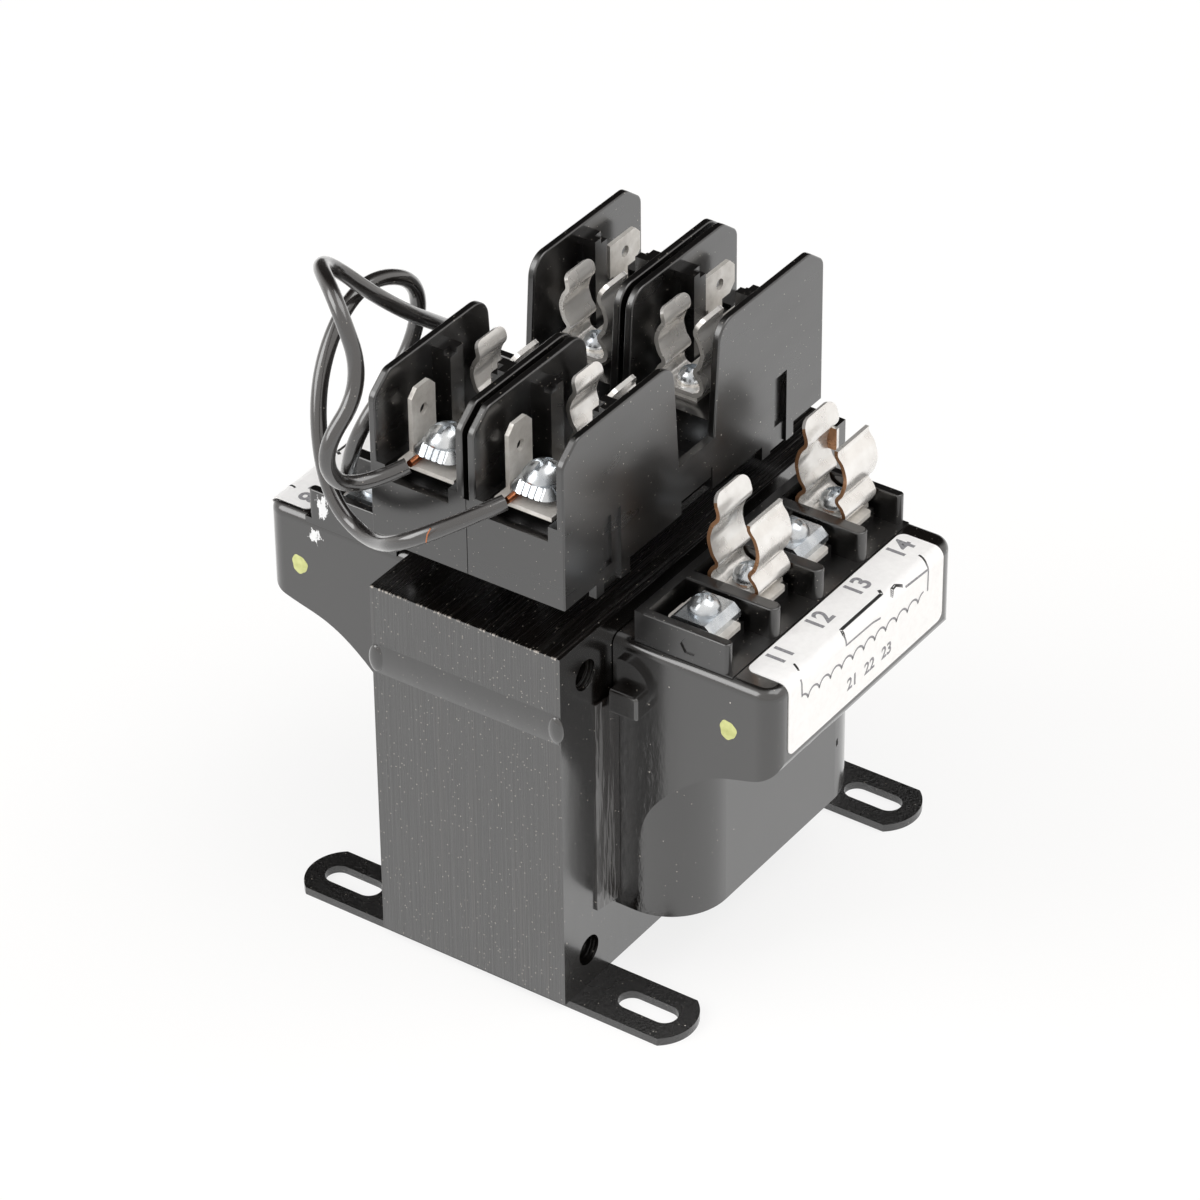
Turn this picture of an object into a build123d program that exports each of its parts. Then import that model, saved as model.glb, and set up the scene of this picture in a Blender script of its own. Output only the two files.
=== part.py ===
from build123d import *
import math
import os

os.makedirs("parts", exist_ok=True)

# Frame, mm: X runs through the stack (+X is the labelled side), Y across the laminations
# (front is -Y), Z up. The origin is the centre of the four foot slots, on the mounting plane.

# Lamination stack, 3 3/8 inch E and I sheets
LAM_WIDTH = 85.725
LAM_HEIGHT = 71.4375
LIMB = 14.2875
STACK = 38.1
LAM_HOLE = 5.6
LAM_HOLE_INSET = 7.144
TONGUE = 2 * LIMB

# Foot straps, welded under the stack
FOOT_T = 1.5
FOOT_WIDTH = 12.25
FOOT_CORNER_X = 36.85
FOOT_TIP_X = 39.9
FOOT_SETBACK = 1.25
SLOT_PITCH_X = 61.9
SLOT_LENGTH = 11.4
SLOT_WIDTH = 4.8

# Heights that follow from the stack
CORE_Z0 = FOOT_T
YOKE_Z = CORE_Z0 + LIMB
CORE_Z1 = CORE_Z0 + LAM_HEIGHT
JOINT_Z = CORE_Z1 - LIMB
CORE_X = STACK / 2
CORE_Y = LAM_WIDTH / 2
LEG_Y = CORE_Y - LIMB
FOOT_Y = CORE_Y - FOOT_SETBACK - FOOT_WIDTH / 2

# Weld runs over the joint
WELD_HALF_HEIGHT = 2.9
WELD_THICK = 0.3
WELD_INSET = 0.3
WELD_KNOB_X = 1.5
WELD_KNOB_Y = 0.85
WELD_KNOB_Z = 2.7
WELD_KNOB_INSET = 0.9

# Coil case
CORE_CLEARANCE = 0.15
CASE_SLOT_GAP = 0.575
CASE_Y = LEG_Y - CASE_SLOT_GAP
CASE_X = 34.3
CASE_CORNER_R = 11.0
CASE_BOTTOM = 14.0
CASE_TOP = 69.0
CASE_WALL_Y = 1.8
CASE_WALL_X = 2.2
CASE_FLOOR = 1.2
SHELF_X = 50.6
PRIMARY_OUT = 1.9
PRIMARY_FORWARD = 1.1
SHELF_CORNER_R = 3.5
SHELF_EDGE_R = 1.8
SHELF_UNDERSIDE = [
    (50.6, 54.6), (50.2, 52.9), (48.1, 51.4), (43.5, 49.9), (40.4, 48.9), (37.3, 47.3),
    (34.3, 45.0), (31.1, 42.2), (28.4, 39.3), (25.6, 35.0), (24.1, 28.2), (23.3, 14.0),
]
LUG_X = 22.0
LUG_Z = 61.0
LUG_R = 5.0
LUG_PROUD = 1.1
LEDGE_X = 26.3
LEDGE_PROUD = 3.5
LEDGE_T = 4.6
LEDGE_EDGE_R = 0.6

# Bobbin and windings
BOBBIN_CLEARANCE = 0.2
BOBBIN_WALL = 1.2
BOBBIN_FLANGE = 1.4
INSIDE_GAP = 0.1
TAPE_BUILD = 0.4
WINDING_GAP = 0.6625
WINDING_START = BOBBIN_CLEARANCE + BOBBIN_WALL + INSIDE_GAP / 2
WINDING_SPACE = CASE_Y - CASE_WALL_Y - WINDING_GAP - LIMB - WINDING_START - TAPE_BUILD
PRIMARY_EXTRA = 0.2
PRIMARY_BUILD = (WINDING_SPACE + PRIMARY_EXTRA) / 2
SECONDARY_BUILD = WINDING_SPACE - PRIMARY_BUILD

# Slot liners
LINER_T = 0.45
LINER_FOLD = 5.2
LINER_SPRING = 1.3

# Label
LABEL_T = 0.15
LABEL_MARGIN = 4.3
LABEL_HALF_Y = CASE_Y - LABEL_MARGIN
LABEL_BOTTOM = 54.9
LABEL_FLAP_X = 42.3
LABEL_CORNER_R = 1.5
PRIMARY_LABEL_FORWARD = 2.6

# Barrier strips on the shelves
STRIP_X0 = 22.8
STRIP_BACK_T = 1.7
STRIP_BASE_T = 1.2
STRIP_FLOOR = 69.2
STRIP_TOP = 75.0
STRIP_MARGIN = 1.1
STRIP_HALF_Y = CASE_Y - STRIP_MARGIN
BARRIER_END_T = 1.8
BARRIER_T = 2.6
BARRIER_PITCH = (STRIP_HALF_Y - BARRIER_END_T + BARRIER_T / 2) / 2
BARRIER_Y = [-BARRIER_PITCH, 0.0, BARRIER_PITCH]
BARRIER_END_X = 41.1
BARRIER_X = 41.9
BARRIER_EDGE_R = 0.35
HEX_MARK_X = 33.45
HEX_MARK_Z = 71.9
HEX_MARK_R = 1.75
HEX_MARK_DEPTH = 0.3
STRIP_POCKET_GAP = 0.1
PEDESTAL_X0 = 26.4
PEDESTAL_X1 = 36.6
PEDESTAL_TOP = 71.6
PEDESTAL_HALF_Y = 4.3
TERMINAL_X = 31.7
STRIP_PLATE_T = 0.8
STRIP_PLATE_X0 = 26.2
STRIP_PLATE_X1 = 35.6
STRIP_PLATE_HALF_Y = 4.2
STRIP_TONGUE_X = 37.4
STRIP_TONGUE_HALF_Y = 2.6
STRIP_THREAD = 2.4

# Fuse block: two single-pole mouldings side by side
POLE_HALF_GAP = 0.07
POLE_OUT_X = 19.15
POLE_X = 9.6
WALL_T = 1.45
INNER_WALL_X = 0.465
BLOCK_MID_Y = -3.2
BLOCK_HALF_Y = 38.1
BLOCK_TOP = 112.4
BLOCK_BOTTOM = 81.7
FOOT_BOTTOM = 79.0
FOOT_IN_Y = 19.6
FOOT_OUT_Y = 29.2
ARCH_HALF_Y = 4.6
ARCH_Z = 86.0
END_CHAMFER_Y = 4.3
END_CHAMFER_Z = 3.3
END_CORNER_R = 2.2
RIM_R = 0.35
INNER_END_R = 4.0
INNER_END_LOW_Y = 5.1
INNER_END_TOP_Y = 6.7
MIDDLE_WALL_Z = 91.4
SILL_Z = 94.1
SILL_X0 = 3.5
SILL_X1 = 16.1
SILL_SIDE_Z = 97.0
PANEL_T = 1.5
DECK_Z = 96.2
DECK_OUT_Y = 33.9
DECK_IN_Y = 25.3
FLOOR_T = 2.4
CLIP_FLOOR_Z = 94.0
CLIP_FLOOR_IN_Y = 5.7
RECESS_Z = 92.3
LOW_FLOOR_RISE = 4.3
LOW_FLOOR_Z = BLOCK_BOTTOM + LOW_FLOOR_RISE
LOW_FLOOR_T = 2.0
POST_OUT_Y = 22.4
POST_IN_Y = 18.9
POST_LEFT_W = 4.0
POST_RIGHT_W = 3.7
POST_TOP = 110.9
POST_RIM = 1.3
POST_HOLLOW = 1.7
POST_STEP = 1.0
KEYWAY_IN_Y = 22.1
KEYWAY_OUT_Y = 27.0
KEYWAY_TOP = 93.2
KEYWAY_DEPTH = 0.5
KEY_SLOT_IN_Y = 24.1
KEY_SLOT_OUT_Y = 26.7
KEY_SLOT_TOP = 92.5
KEY_SLOT_BOTTOM = 83.0
KEY_SLOT_DEPTH = 1.05
BOSS_D = 7.0

# Fuse clips
CLIP_Y = 12.75
CLIP_WIDTH = 7.6
CLIP_T = 0.8
CLIP_OUTLINE = [
    (2.7, 0.0), (4.25, 0.75), (4.87, 2.4), (4.3, 3.85), (3.5, 5.0), (4.3, 6.3), (4.95, 8.8),
    (4.4, 11.0), (3.6, 12.4), (3.75, 13.5), (4.3, 14.6),
]
CLIP_CORNER_R = 1.6
CLIP_BOSS_D = 5.0
CLIP_BOSS_RISE = 0.35
STRIP_CLIP_WIDTH = 9.6
STRIP_CLIP_T = 0.7
STRIP_CLIP_CORNER_R = 2.2
STOP_EAR_WIDTH = 2.4
STOP_EAR_Z0 = 8.1
STOP_EAR_Z1 = 12.4
STOP_EAR_X = 4.95
STRIP_CLIP_OUTLINE = [
    (2.7, 0.0), (4.3, 0.8), (5.0, 2.4), (4.4, 3.9), (3.55, 5.0), (4.5, 6.6), (5.15, 9.5),
    (4.5, 12.3), (3.35, 14.0), (3.55, 15.6), (4.4, 17.8),
]
STRIP_CLIP_CUT = 14.9

# Block terminals
PLATE_T = 0.8
PLATE_HALF_X = 5.6
PLATE_OUT_Y = 35.8
NECK_HALF_X = 3.4
NECK_OUT_Y = 25.2
NECK_IN_Y = 9.2
TAB_T = 0.8
TAB_WIDTH = 6.4
TAB_Y = 29.4
TAB_TOP = 108.5
TAB_CHAMFER = 1.5
TAB_HOLE_D = 2.1
TAB_HOLE_DROP = 4.8
TAB_HOLE_Z = TAB_TOP - TAB_HOLE_DROP
LOAD_TAB_Z0 = 101.1
LOAD_TAB_IN_Y = 23.8
LOAD_TAB_OUT_Y = 32.8
LOAD_STEM_OUT_Y = 29.0
LOAD_STEM_INSET = 1.0
LINE_Y = 29.8
LINE_CLAMP_SIDE = 9.4
LINE_CLAMP_SIDE_R = 3.0
LINE_CLAMP_TOP = 6.8
LINE_CLAMP_TOP_R = 1.8
LINE_CLAMP_H = 1.7
LINE_CLAMP_T = 0.8
LINE_CLAMP_GROOVES = [-2.4, -1.2, 0.0, 1.2, 2.4]
LINE_CLAMP_GROOVE_WIDTH = 0.4
LINE_CLAMP_GROOVE_DEPTH = 0.25

# Screws: shank diameter, head diameter, head height
CLIP_SCREW = (2.6, 4.8, 2.1)
LINE_SCREW = (3.8, 7.2, 2.7)
STRIP_SCREW = (3.0, 5.6, 2.6)
MOUNT_SCREW = (3.5, 6.4, 2.4)
HEAD_RIM = 0.35
CLIP_SCREW_REACH = 6.5
LINE_SCREW_REACH = 7.0
STRIP_SCREW_REACH = 3.6
THREAD_GAP = 0.02
CROSS_WIDTH = 0.9
CROSS_DEPTH = 0.9
CROSS_SPAN = 0.6

# Clamp plates of the screw terminals
CLAMP_T = 0.8
CLAMP_RISE = 1.25
STRIP_CLAMP_SIDE = 8.6
CLAMP_FLAT = 0.68

# Block bracket
BRACKET_T = 1.5
BRACKET_WEB_X = 6.0
BRACKET_FLANGE_X = 17.4
BRACKET_FRONT_Y = -28.5
BRACKET_REAR_Y = 22.1
MOUNT_X = 11.6

# Leads
LEAD_D = 2.75
LEAD_CORE_D = 1.2
LEAD_SIDE = 2.7
LEAD_CORE_OUT_Y = -39.65
LEAD_CORE_IN_Y = -30.6

# How far a piece of one moulding reaches into the next, so that they join
MERGE = 0.2


def block(x0, x1, y0, y1, z0, z1):
    centre = Pos((x0 + x1) / 2, (y0 + y1) / 2, (z0 + z1) / 2)
    return centre * Box(abs(x1 - x0), abs(y1 - y0), abs(z1 - z0))


def plane_x(x):
    return Plane(origin=(x, 0, 0), x_dir=(0, 1, 0), z_dir=(1, 0, 0))


def plane_y(y):
    return Plane(origin=(0, y, 0), x_dir=(1, 0, 0), z_dir=(0, -1, 0))


def plane_z(z):
    return Plane(origin=(0, 0, z), x_dir=(1, 0, 0), z_dir=(0, 0, 1))


def polygon(points):
    return make_face(Polyline(*points, close=True))


def along_x(face, x0, x1):
    return extrude(plane_x(x0) * face, amount=x1 - x0)


def along_y(face, y0, y1):
    return extrude(plane_y(y1) * face, amount=y1 - y0)


def along_z(face, z0, z1):
    return extrude(plane_z(z0) * face, amount=z1 - z0)


def round_corners(face, points, radius):
    picked = [v for v in face.vertices() if any(math.dist((v.X, v.Y), p) < 0.01 for p in points)]
    return fillet(picked, radius)


def rounded_box(half_x, half_y, radius, z0, z1):
    return along_z(RectangleRounded(2 * half_x, 2 * half_y, radius), z0, z1)


def rod(x, y, z0, z1, diameter):
    return along_z(Pos(x, y) * Circle(diameter / 2), z0, z1)


def mirror_y(shape, middle=0.0):
    return mirror(shape, about=Plane(origin=(0, middle, 0), x_dir=(1, 0, 0), z_dir=(0, 1, 0)))


def mirror_x(shape):
    return mirror(shape, about=Plane.YZ)


def save(name, shapes):
    solids = [s for shape in (shapes if isinstance(shapes, list) else [shapes]) for s in shape.solids()]
    whole = solids[0] if len(solids) == 1 else Compound(children=solids)
    whole.label = name
    export_step(whole, os.path.join("parts", name + ".step"))


def stack_holes(z):
    holes = [Pos(side * (CORE_Y - LAM_HOLE_INSET), z) * Circle(LAM_HOLE / 2) for side in (-1, 1)]
    return along_x(Sketch(children=holes), -STACK, STACK)


def e_laminations():
    outline = polygon([
        (-CORE_Y, CORE_Z0), (CORE_Y, CORE_Z0), (CORE_Y, JOINT_Z), (LEG_Y, JOINT_Z),
        (LEG_Y, YOKE_Z), (LIMB, YOKE_Z), (LIMB, JOINT_Z), (-LIMB, JOINT_Z),
        (-LIMB, YOKE_Z), (-LEG_Y, YOKE_Z), (-LEG_Y, JOINT_Z), (-CORE_Y, JOINT_Z),
    ])
    return along_x(outline, -CORE_X, CORE_X) - stack_holes(CORE_Z0 + LAM_HOLE_INSET)


def i_laminations():
    bar = block(-CORE_X, CORE_X, -CORE_Y, CORE_Y, JOINT_Z, CORE_Z1)
    return bar - stack_holes(CORE_Z1 - LAM_HOLE_INSET)


def front_weld_bead():
    low, top = (-CORE_Y, JOINT_Z - WELD_HALF_HEIGHT), (-CORE_Y, JOINT_Z + WELD_HALF_HEIGHT)
    bow = ThreePointArc(low, (-CORE_Y - WELD_THICK, JOINT_Z), top)
    end = CORE_X - WELD_INSET
    bead = along_x(make_face([bow, Line(top, low)]), -end, end)
    reach = CORE_X + WELD_KNOB_X
    for side in (-1, 1):
        knob = scale(Sphere(1), by=(WELD_KNOB_X, WELD_KNOB_Y, WELD_KNOB_Z))
        bead += Pos(side * (CORE_X - WELD_KNOB_INSET), -CORE_Y, JOINT_Z) * knob
    return bead & block(-reach, reach, -CORE_Y - LIMB, -CORE_Y, YOKE_Z, CORE_Z1)


def front_foot():
    y0, y1 = -FOOT_Y - FOOT_WIDTH / 2, -FOOT_Y + FOOT_WIDTH / 2
    right = ThreePointArc((FOOT_CORNER_X, y0), (FOOT_TIP_X, -FOOT_Y), (FOOT_CORNER_X, y1))
    left = ThreePointArc((-FOOT_CORNER_X, y1), (-FOOT_TIP_X, -FOOT_Y), (-FOOT_CORNER_X, y0))
    front = Line((-FOOT_CORNER_X, y0), (FOOT_CORNER_X, y0))
    rear = Line((FOOT_CORNER_X, y1), (-FOOT_CORNER_X, y1))
    strap = along_z(make_face([front, right, rear, left]), 0, FOOT_T)
    for side in (-1, 1):
        slot = Pos(side * SLOT_PITCH_X / 2, -FOOT_Y) * SlotOverall(SLOT_LENGTH, SLOT_WIDTH)
        strap -= along_z(slot, -FOOT_T, 2 * FOOT_T)
    return strap


def shelf(out):
    swell = CASE_X
    under = [(x + out * max(0, x - swell) / (SHELF_X - swell), z) for x, z in SHELF_UNDERSIDE]
    inner = CORE_X + CORE_CLEARANCE
    rest = Polyline(under[-1], (inner, CASE_BOTTOM), (inner, CASE_TOP), (SHELF_X + out, CASE_TOP), under[0])
    body = along_y(make_face([Spline(*under), rest]), -CASE_Y, CASE_Y)
    plan = rounded_box(SHELF_X + out, CASE_Y, SHELF_CORNER_R, CASE_BOTTOM - 1, CASE_TOP)
    rim = [e for e in plan.edges() if e.center().Z > CASE_TOP - 0.01]
    return body & fillet(rim, SHELF_EDGE_R)


def case_lug():
    disc = Pos(LUG_X, LUG_Z) * Circle(LUG_R)
    lug = along_y(disc, -CASE_Y - LUG_PROUD, -CASE_Y + MERGE)
    ledge = block(LUG_X - LUG_R, LEDGE_X, -CASE_Y - LEDGE_PROUD, -CASE_Y + MERGE, LUG_Z - LEDGE_T, LUG_Z)
    lug += fillet([e for e in ledge.edges() if e.center().Y < -CASE_Y], LEDGE_EDGE_R)
    return lug - block(0, CORE_X + LINER_T + LINER_SPRING, -CORE_Y, 0, 0, CORE_Z1)


def case_half(out, forward):
    inner = CORE_X + CORE_CLEARANCE
    lobe = rounded_box(CASE_X, CASE_Y, CASE_CORNER_R, CASE_BOTTOM, CASE_TOP - SHELF_EDGE_R - 1)
    lobe &= block(inner, CASE_X + 1, -CASE_Y - 1, CASE_Y + 1, CASE_BOTTOM, CASE_TOP)
    lug = case_lug()
    half = lobe + shelf(out) + lug + mirror_y(lug)
    reach = STRIP_HALF_Y + STRIP_POCKET_GAP
    half -= block(STRIP_X0 + out - STRIP_POCKET_GAP, BARRIER_X + out + STRIP_POCKET_GAP, -reach - forward,
                  reach - forward, STRIP_FLOOR - STRIP_BASE_T, CASE_TOP + 1)
    return half


def coil_case():
    low, high = YOKE_Z + CORE_CLEARANCE, JOINT_Z - CORE_CLEARANCE
    body = case_half(0, 0) + mirror_x(case_half(PRIMARY_OUT, PRIMARY_FORWARD))
    inner = CORE_X + CORE_CLEARANCE
    tongue = LIMB + BOBBIN_CLEARANCE
    for side in (-1, 1):
        body += block(-inner, inner, side * tongue, side * CASE_Y, low, high)
    cavity = rounded_box(CASE_X - CASE_WALL_X, CASE_Y - CASE_WALL_Y, CASE_CORNER_R - CASE_WALL_X,
                         low + CASE_FLOOR, high - CASE_FLOOR)
    return body - cavity


def bobbin_limits():
    low = YOKE_Z + CORE_CLEARANCE + CASE_FLOOR + INSIDE_GAP
    high = JOINT_Z - CORE_CLEARANCE - CASE_FLOOR - INSIDE_GAP
    return low, high


def coil_bobbin():
    low, high = bobbin_limits()
    flange_x = CASE_X - CASE_WALL_X - INSIDE_GAP
    flange_y = CASE_Y - CASE_WALL_Y - INSIDE_GAP
    radius = CASE_CORNER_R - CASE_WALL_X
    tube_x = CORE_X + BOBBIN_CLEARANCE
    tube_y = LIMB + BOBBIN_CLEARANCE
    bobbin = rounded_box(flange_x, flange_y, radius, low, low + BOBBIN_FLANGE)
    bobbin += rounded_box(flange_x, flange_y, radius, high - BOBBIN_FLANGE, high)
    bobbin += block(-tube_x - BOBBIN_WALL, tube_x + BOBBIN_WALL,
                    -tube_y - BOBBIN_WALL, tube_y + BOBBIN_WALL, low, high)
    return bobbin - block(-tube_x, tube_x, -tube_y, tube_y, low - 1, high + 1)


def winding_ring(start, build):
    low, high = bobbin_limits()
    tube_x = CORE_X + WINDING_START + start
    tube_y = LIMB + WINDING_START + start
    z0, z1 = low + BOBBIN_FLANGE, high - BOBBIN_FLANGE
    outer = rounded_box(tube_x + build, tube_y + build, start + build, z0, z1)
    if start:
        return outer - rounded_box(tube_x, tube_y, start, z0 - 1, z1 + 1)
    return outer - block(-tube_x, tube_x, -tube_y, tube_y, z0 - 1, z1 + 1)


def front_slot_liner():
    low, high = YOKE_Z + CORE_CLEARANCE, JOINT_Z - CORE_CLEARANCE
    y_in = -CASE_Y - (LEG_Y - CASE_Y - LINER_T) / 2
    y_out = y_in - LINER_T
    end = CORE_X + LINER_SPRING
    liner = block(-end, end, y_out, y_in, low, high)
    tip = y_out - LINER_FOLD
    fold = along_z(polygon([(end, y_in), (end, y_out), (CORE_X + LINER_T, tip), (CORE_X, tip),
                            (end - LINER_T, y_out), (end - LINER_T, y_in)]), low, high)
    return liner + fold + mirror_x(fold)


def label(out, forward):
    case_end = SHELF_X + out
    edge = case_end + LABEL_T
    top = CASE_TOP + LABEL_T
    flap = LABEL_FLAP_X + out
    outer = polygon([(edge, LABEL_BOTTOM), (edge, top), (flap, top), (flap, CASE_TOP),
                     (case_end, CASE_TOP), (case_end, LABEL_BOTTOM)])
    outer = round_corners(outer, [(edge, top)], SHELF_EDGE_R + LABEL_T)
    outer = round_corners(outer, [(case_end, CASE_TOP)], SHELF_EDGE_R)
    sheet = along_y(outer, -LABEL_HALF_Y - forward, LABEL_HALF_Y - forward)
    ends = [e for e in sheet.edges().filter_by(Axis.X) if e.center().Z < (LABEL_BOTTOM + CASE_TOP) / 2]
    ends += [e for e in sheet.edges().filter_by(Axis.Z) if e.center().X < flap + 1]
    plan = rounded_box(edge, CASE_Y + LABEL_T, SHELF_CORNER_R + LABEL_T, LABEL_BOTTOM - 1, top + 1)
    return fillet(ends, LABEL_CORNER_R) & plan


def pocket_centres():
    half = BARRIER_T / 2
    inner = STRIP_HALF_Y - BARRIER_END_T
    walls = [(-inner, BARRIER_Y[0] - half)]
    walls += [(a + half, b - half) for a, b in zip(BARRIER_Y, BARRIER_Y[1:])]
    walls += [(BARRIER_Y[-1] + half, inner)]
    return [(a + b) / 2 for a, b in walls]


def barrier(y, thick, x_end):
    outline = RectangleRounded(2 * (x_end - STRIP_X0), thick, thick / 2 - 0.05)
    wall = along_z(Pos(STRIP_X0, y) * outline, STRIP_FLOOR - MERGE, STRIP_TOP)
    wall = fillet([e for e in wall.edges() if e.center().Z > STRIP_TOP - 0.01], BARRIER_EDGE_R)
    return wall & block(STRIP_X0, x_end, y - thick, y + thick, STRIP_FLOOR - MERGE, STRIP_TOP)


def hex_mark(y0, y1):
    hexagon = Pos(HEX_MARK_X, HEX_MARK_Z) * RegularPolygon(HEX_MARK_R, 6)
    return along_y(hexagon, y0, y1)


def secondary_terminal_block():
    strip = block(STRIP_X0, BARRIER_X, -STRIP_HALF_Y, STRIP_HALF_Y, STRIP_FLOOR - STRIP_BASE_T, STRIP_FLOOR)
    strip += block(STRIP_X0, STRIP_X0 + STRIP_BACK_T, -STRIP_HALF_Y, STRIP_HALF_Y, STRIP_FLOOR - MERGE,
                   STRIP_TOP)
    for side in (-1, 1):
        strip += barrier(side * (STRIP_HALF_Y - BARRIER_END_T / 2), BARRIER_END_T, BARRIER_END_X)
    for y in BARRIER_Y:
        strip += barrier(y, BARRIER_T, BARRIER_X)
    for y in pocket_centres():
        strip += block(PEDESTAL_X0, PEDESTAL_X1, y - PEDESTAL_HALF_Y, y + PEDESTAL_HALF_Y,
                       STRIP_FLOOR - MERGE, PEDESTAL_TOP)
        strip -= rod(TERMINAL_X, y, PEDESTAL_TOP - STRIP_SCREW_REACH, PEDESTAL_TOP + 1, STRIP_SCREW[0])
    strip -= hex_mark(-STRIP_HALF_Y - 1, -STRIP_HALF_Y + HEX_MARK_DEPTH)
    return strip - hex_mark(STRIP_HALF_Y - HEX_MARK_DEPTH, STRIP_HALF_Y + 1)


def on_primary_side(shape):
    return Pos(-PRIMARY_OUT, -PRIMARY_FORWARD, 0) * mirror_x(shape)


def strip_plate(y):
    plate = block(STRIP_PLATE_X0, STRIP_PLATE_X1, y - STRIP_PLATE_HALF_Y, y + STRIP_PLATE_HALF_Y,
                  PEDESTAL_TOP, PEDESTAL_TOP + STRIP_PLATE_T)
    tongue = rounded_box(STRIP_TONGUE_X - TERMINAL_X, STRIP_TONGUE_HALF_Y, STRIP_PLATE_T, PEDESTAL_TOP,
                         PEDESTAL_TOP + STRIP_PLATE_T)
    plate += Pos(TERMINAL_X, y, 0) * tongue
    return plate - rod(TERMINAL_X, y, PEDESTAL_TOP - STRIP_PLATE_T, PEDESTAL_TOP + 2 * STRIP_PLATE_T,
                       STRIP_SCREW[0])


def clamp_height(side):
    wing = side / 2 * (1 - CLAMP_FLAT)
    return CLAMP_RISE + CLAMP_T * math.hypot(wing, CLAMP_RISE) / wing


def clamp(x, y, z, side, hole):
    half, flat = side / 2, side / 2 * CLAMP_FLAT
    top = z + clamp_height(side)
    foot_z = top - CLAMP_RISE
    section = polygon([
        (x - half, foot_z), (x - flat, top), (x + flat, top), (x + half, foot_z),
        (x + half, z), (x + flat, top - CLAMP_T), (x - flat, top - CLAMP_T), (x - half, z),
    ])
    plate = along_y(section, y - half, y + half)
    return plate - rod(x, y, z - 1, top + 1, hole)


def ribbed_clamp(x, y, z):
    low, top, high, cut = LINE_CLAMP_SIDE / 2, LINE_CLAMP_TOP / 2, LINE_CLAMP_H, LINE_CLAMP_GROOVE_DEPTH
    shell = loft([plane_z(0) * RectangleRounded(2 * low, 2 * low, LINE_CLAMP_SIDE_R),
                  plane_z(high) * RectangleRounded(2 * top, 2 * top, LINE_CLAMP_TOP_R)], ruled=True)
    plate = shell - Pos(0, 0, -LINE_CLAMP_T) * shell
    skin = polygon([(top - cut, high + 1), (top - cut, high), (low - cut, 0), (low - cut, -1), (low + 1, -1),
                    (low + 1, high + 1)])
    for middle in LINE_CLAMP_GROOVES:
        groove = along_y(skin, middle - LINE_CLAMP_GROOVE_WIDTH / 2, middle + LINE_CLAMP_GROOVE_WIDTH / 2)
        for quarter in range(4):
            plate -= Rot(0, 0, 90 * quarter) * groove
    return Pos(x, y, z) * (plate - rod(0, 0, -1, high + 1, LINE_SCREW[0]))


def screw(x, y, seat, sizes, reach):
    shank, head, high = sizes
    edge, rise = head / 2, high - HEAD_RIM
    ball = (edge ** 2 + rise ** 2) / (2 * rise)
    middle = (edge * math.sqrt(0.5), high - ball + math.sqrt(ball ** 2 - edge ** 2 / 2))
    side = Polyline((0, high), (0, 0), (edge, 0), (edge, HEAD_RIM))
    body = revolve(Plane.XZ * make_face([ThreePointArc((edge, HEAD_RIM), middle, (0, high)), side]), Axis.Z)
    span = head * CROSS_SPAN
    for wide, deep in ((span, CROSS_WIDTH), (CROSS_WIDTH, span)):
        body -= block(-wide / 2, wide / 2, -deep / 2, deep / 2, high - CROSS_DEPTH, high + 1)
    return Pos(x, y, seat) * (body + rod(0, 0, -reach, HEAD_RIM, shank - THREAD_GAP))


def smooth(points, steps):
    padded = [points[0]] + points + [points[-1]]
    line = []
    for a, b, c, d in zip(padded, padded[1:], padded[2:], padded[3:]):
        for i in range(steps):
            t = i / steps
            line.append(tuple(
                0.5 * (2 * q + (r - p) * t + (2 * p - 5 * q + 4 * r - s) * t * t
                       + (3 * q - p - 3 * r + s) * t ** 3)
                for p, q, r, s in zip(a, b, c, d)))
    return line + [points[-1]]


def shifted(line, amount):
    moved = []
    for i, (x, z) in enumerate(line):
        ax, az = line[max(i - 1, 0)]
        bx, bz = line[min(i + 1, len(line) - 1)]
        run = math.hypot(bx - ax, bz - az)
        moved.append((x - amount * (bz - az) / run, z + amount * (bx - ax) / run))
    return moved


def clip_leaf(outline, width, thick, corner):
    outer = smooth(outline, 3)
    inner = shifted(outer, thick)
    inner[0] = (outer[0][0], thick)
    edges = [Line((0, thick), (0, 0)), Line((0, 0), outer[0]), Spline(*outer),
             Line(outer[-1], inner[-1]), Spline(*reversed(inner)), Line(inner[0], (0, thick))]
    leaf = along_y(make_face(edges), -width / 2, width / 2)
    tips = [e for e in leaf.edges() if e.center().Z > outline[-1][1] - thick and e.length < 1.2 * thick]
    return fillet(tips, corner)


def clip_base(clip, thick, hole):
    clip += rod(0, 0, 0, thick + CLIP_BOSS_RISE, CLIP_BOSS_D)
    return clip - rod(0, 0, -1, thick + CLIP_BOSS_RISE + 1, hole)


def block_clip(x, y):
    leaf = clip_leaf(CLIP_OUTLINE, CLIP_WIDTH, CLIP_T, CLIP_CORNER_R)
    clip = clip_base(leaf + mirror_x(leaf), CLIP_T, CLIP_SCREW[0])
    return Pos(x, y, CLIP_FLOOR_Z + PLATE_T) * clip


def strip_clip(y, ear):
    width, thick = STRIP_CLIP_WIDTH, STRIP_CLIP_T
    leaf = clip_leaf(STRIP_CLIP_OUTLINE, width, thick, STRIP_CLIP_CORNER_R)
    short = leaf - block(0, width, -width, width, STRIP_CLIP_CUT, 2 * STRIP_CLIP_CUT)
    clip = clip_base(mirror_x(leaf) + short, thick, STRIP_SCREW[0])
    if ear:
        clip += block(-STOP_EAR_X, STOP_EAR_WIDTH - STOP_EAR_X, width / 2 - thick, width / 2, STOP_EAR_Z0,
                      STOP_EAR_Z1)
    return Pos(TERMINAL_X, y, PEDESTAL_TOP + STRIP_PLATE_T) * clip


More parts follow.
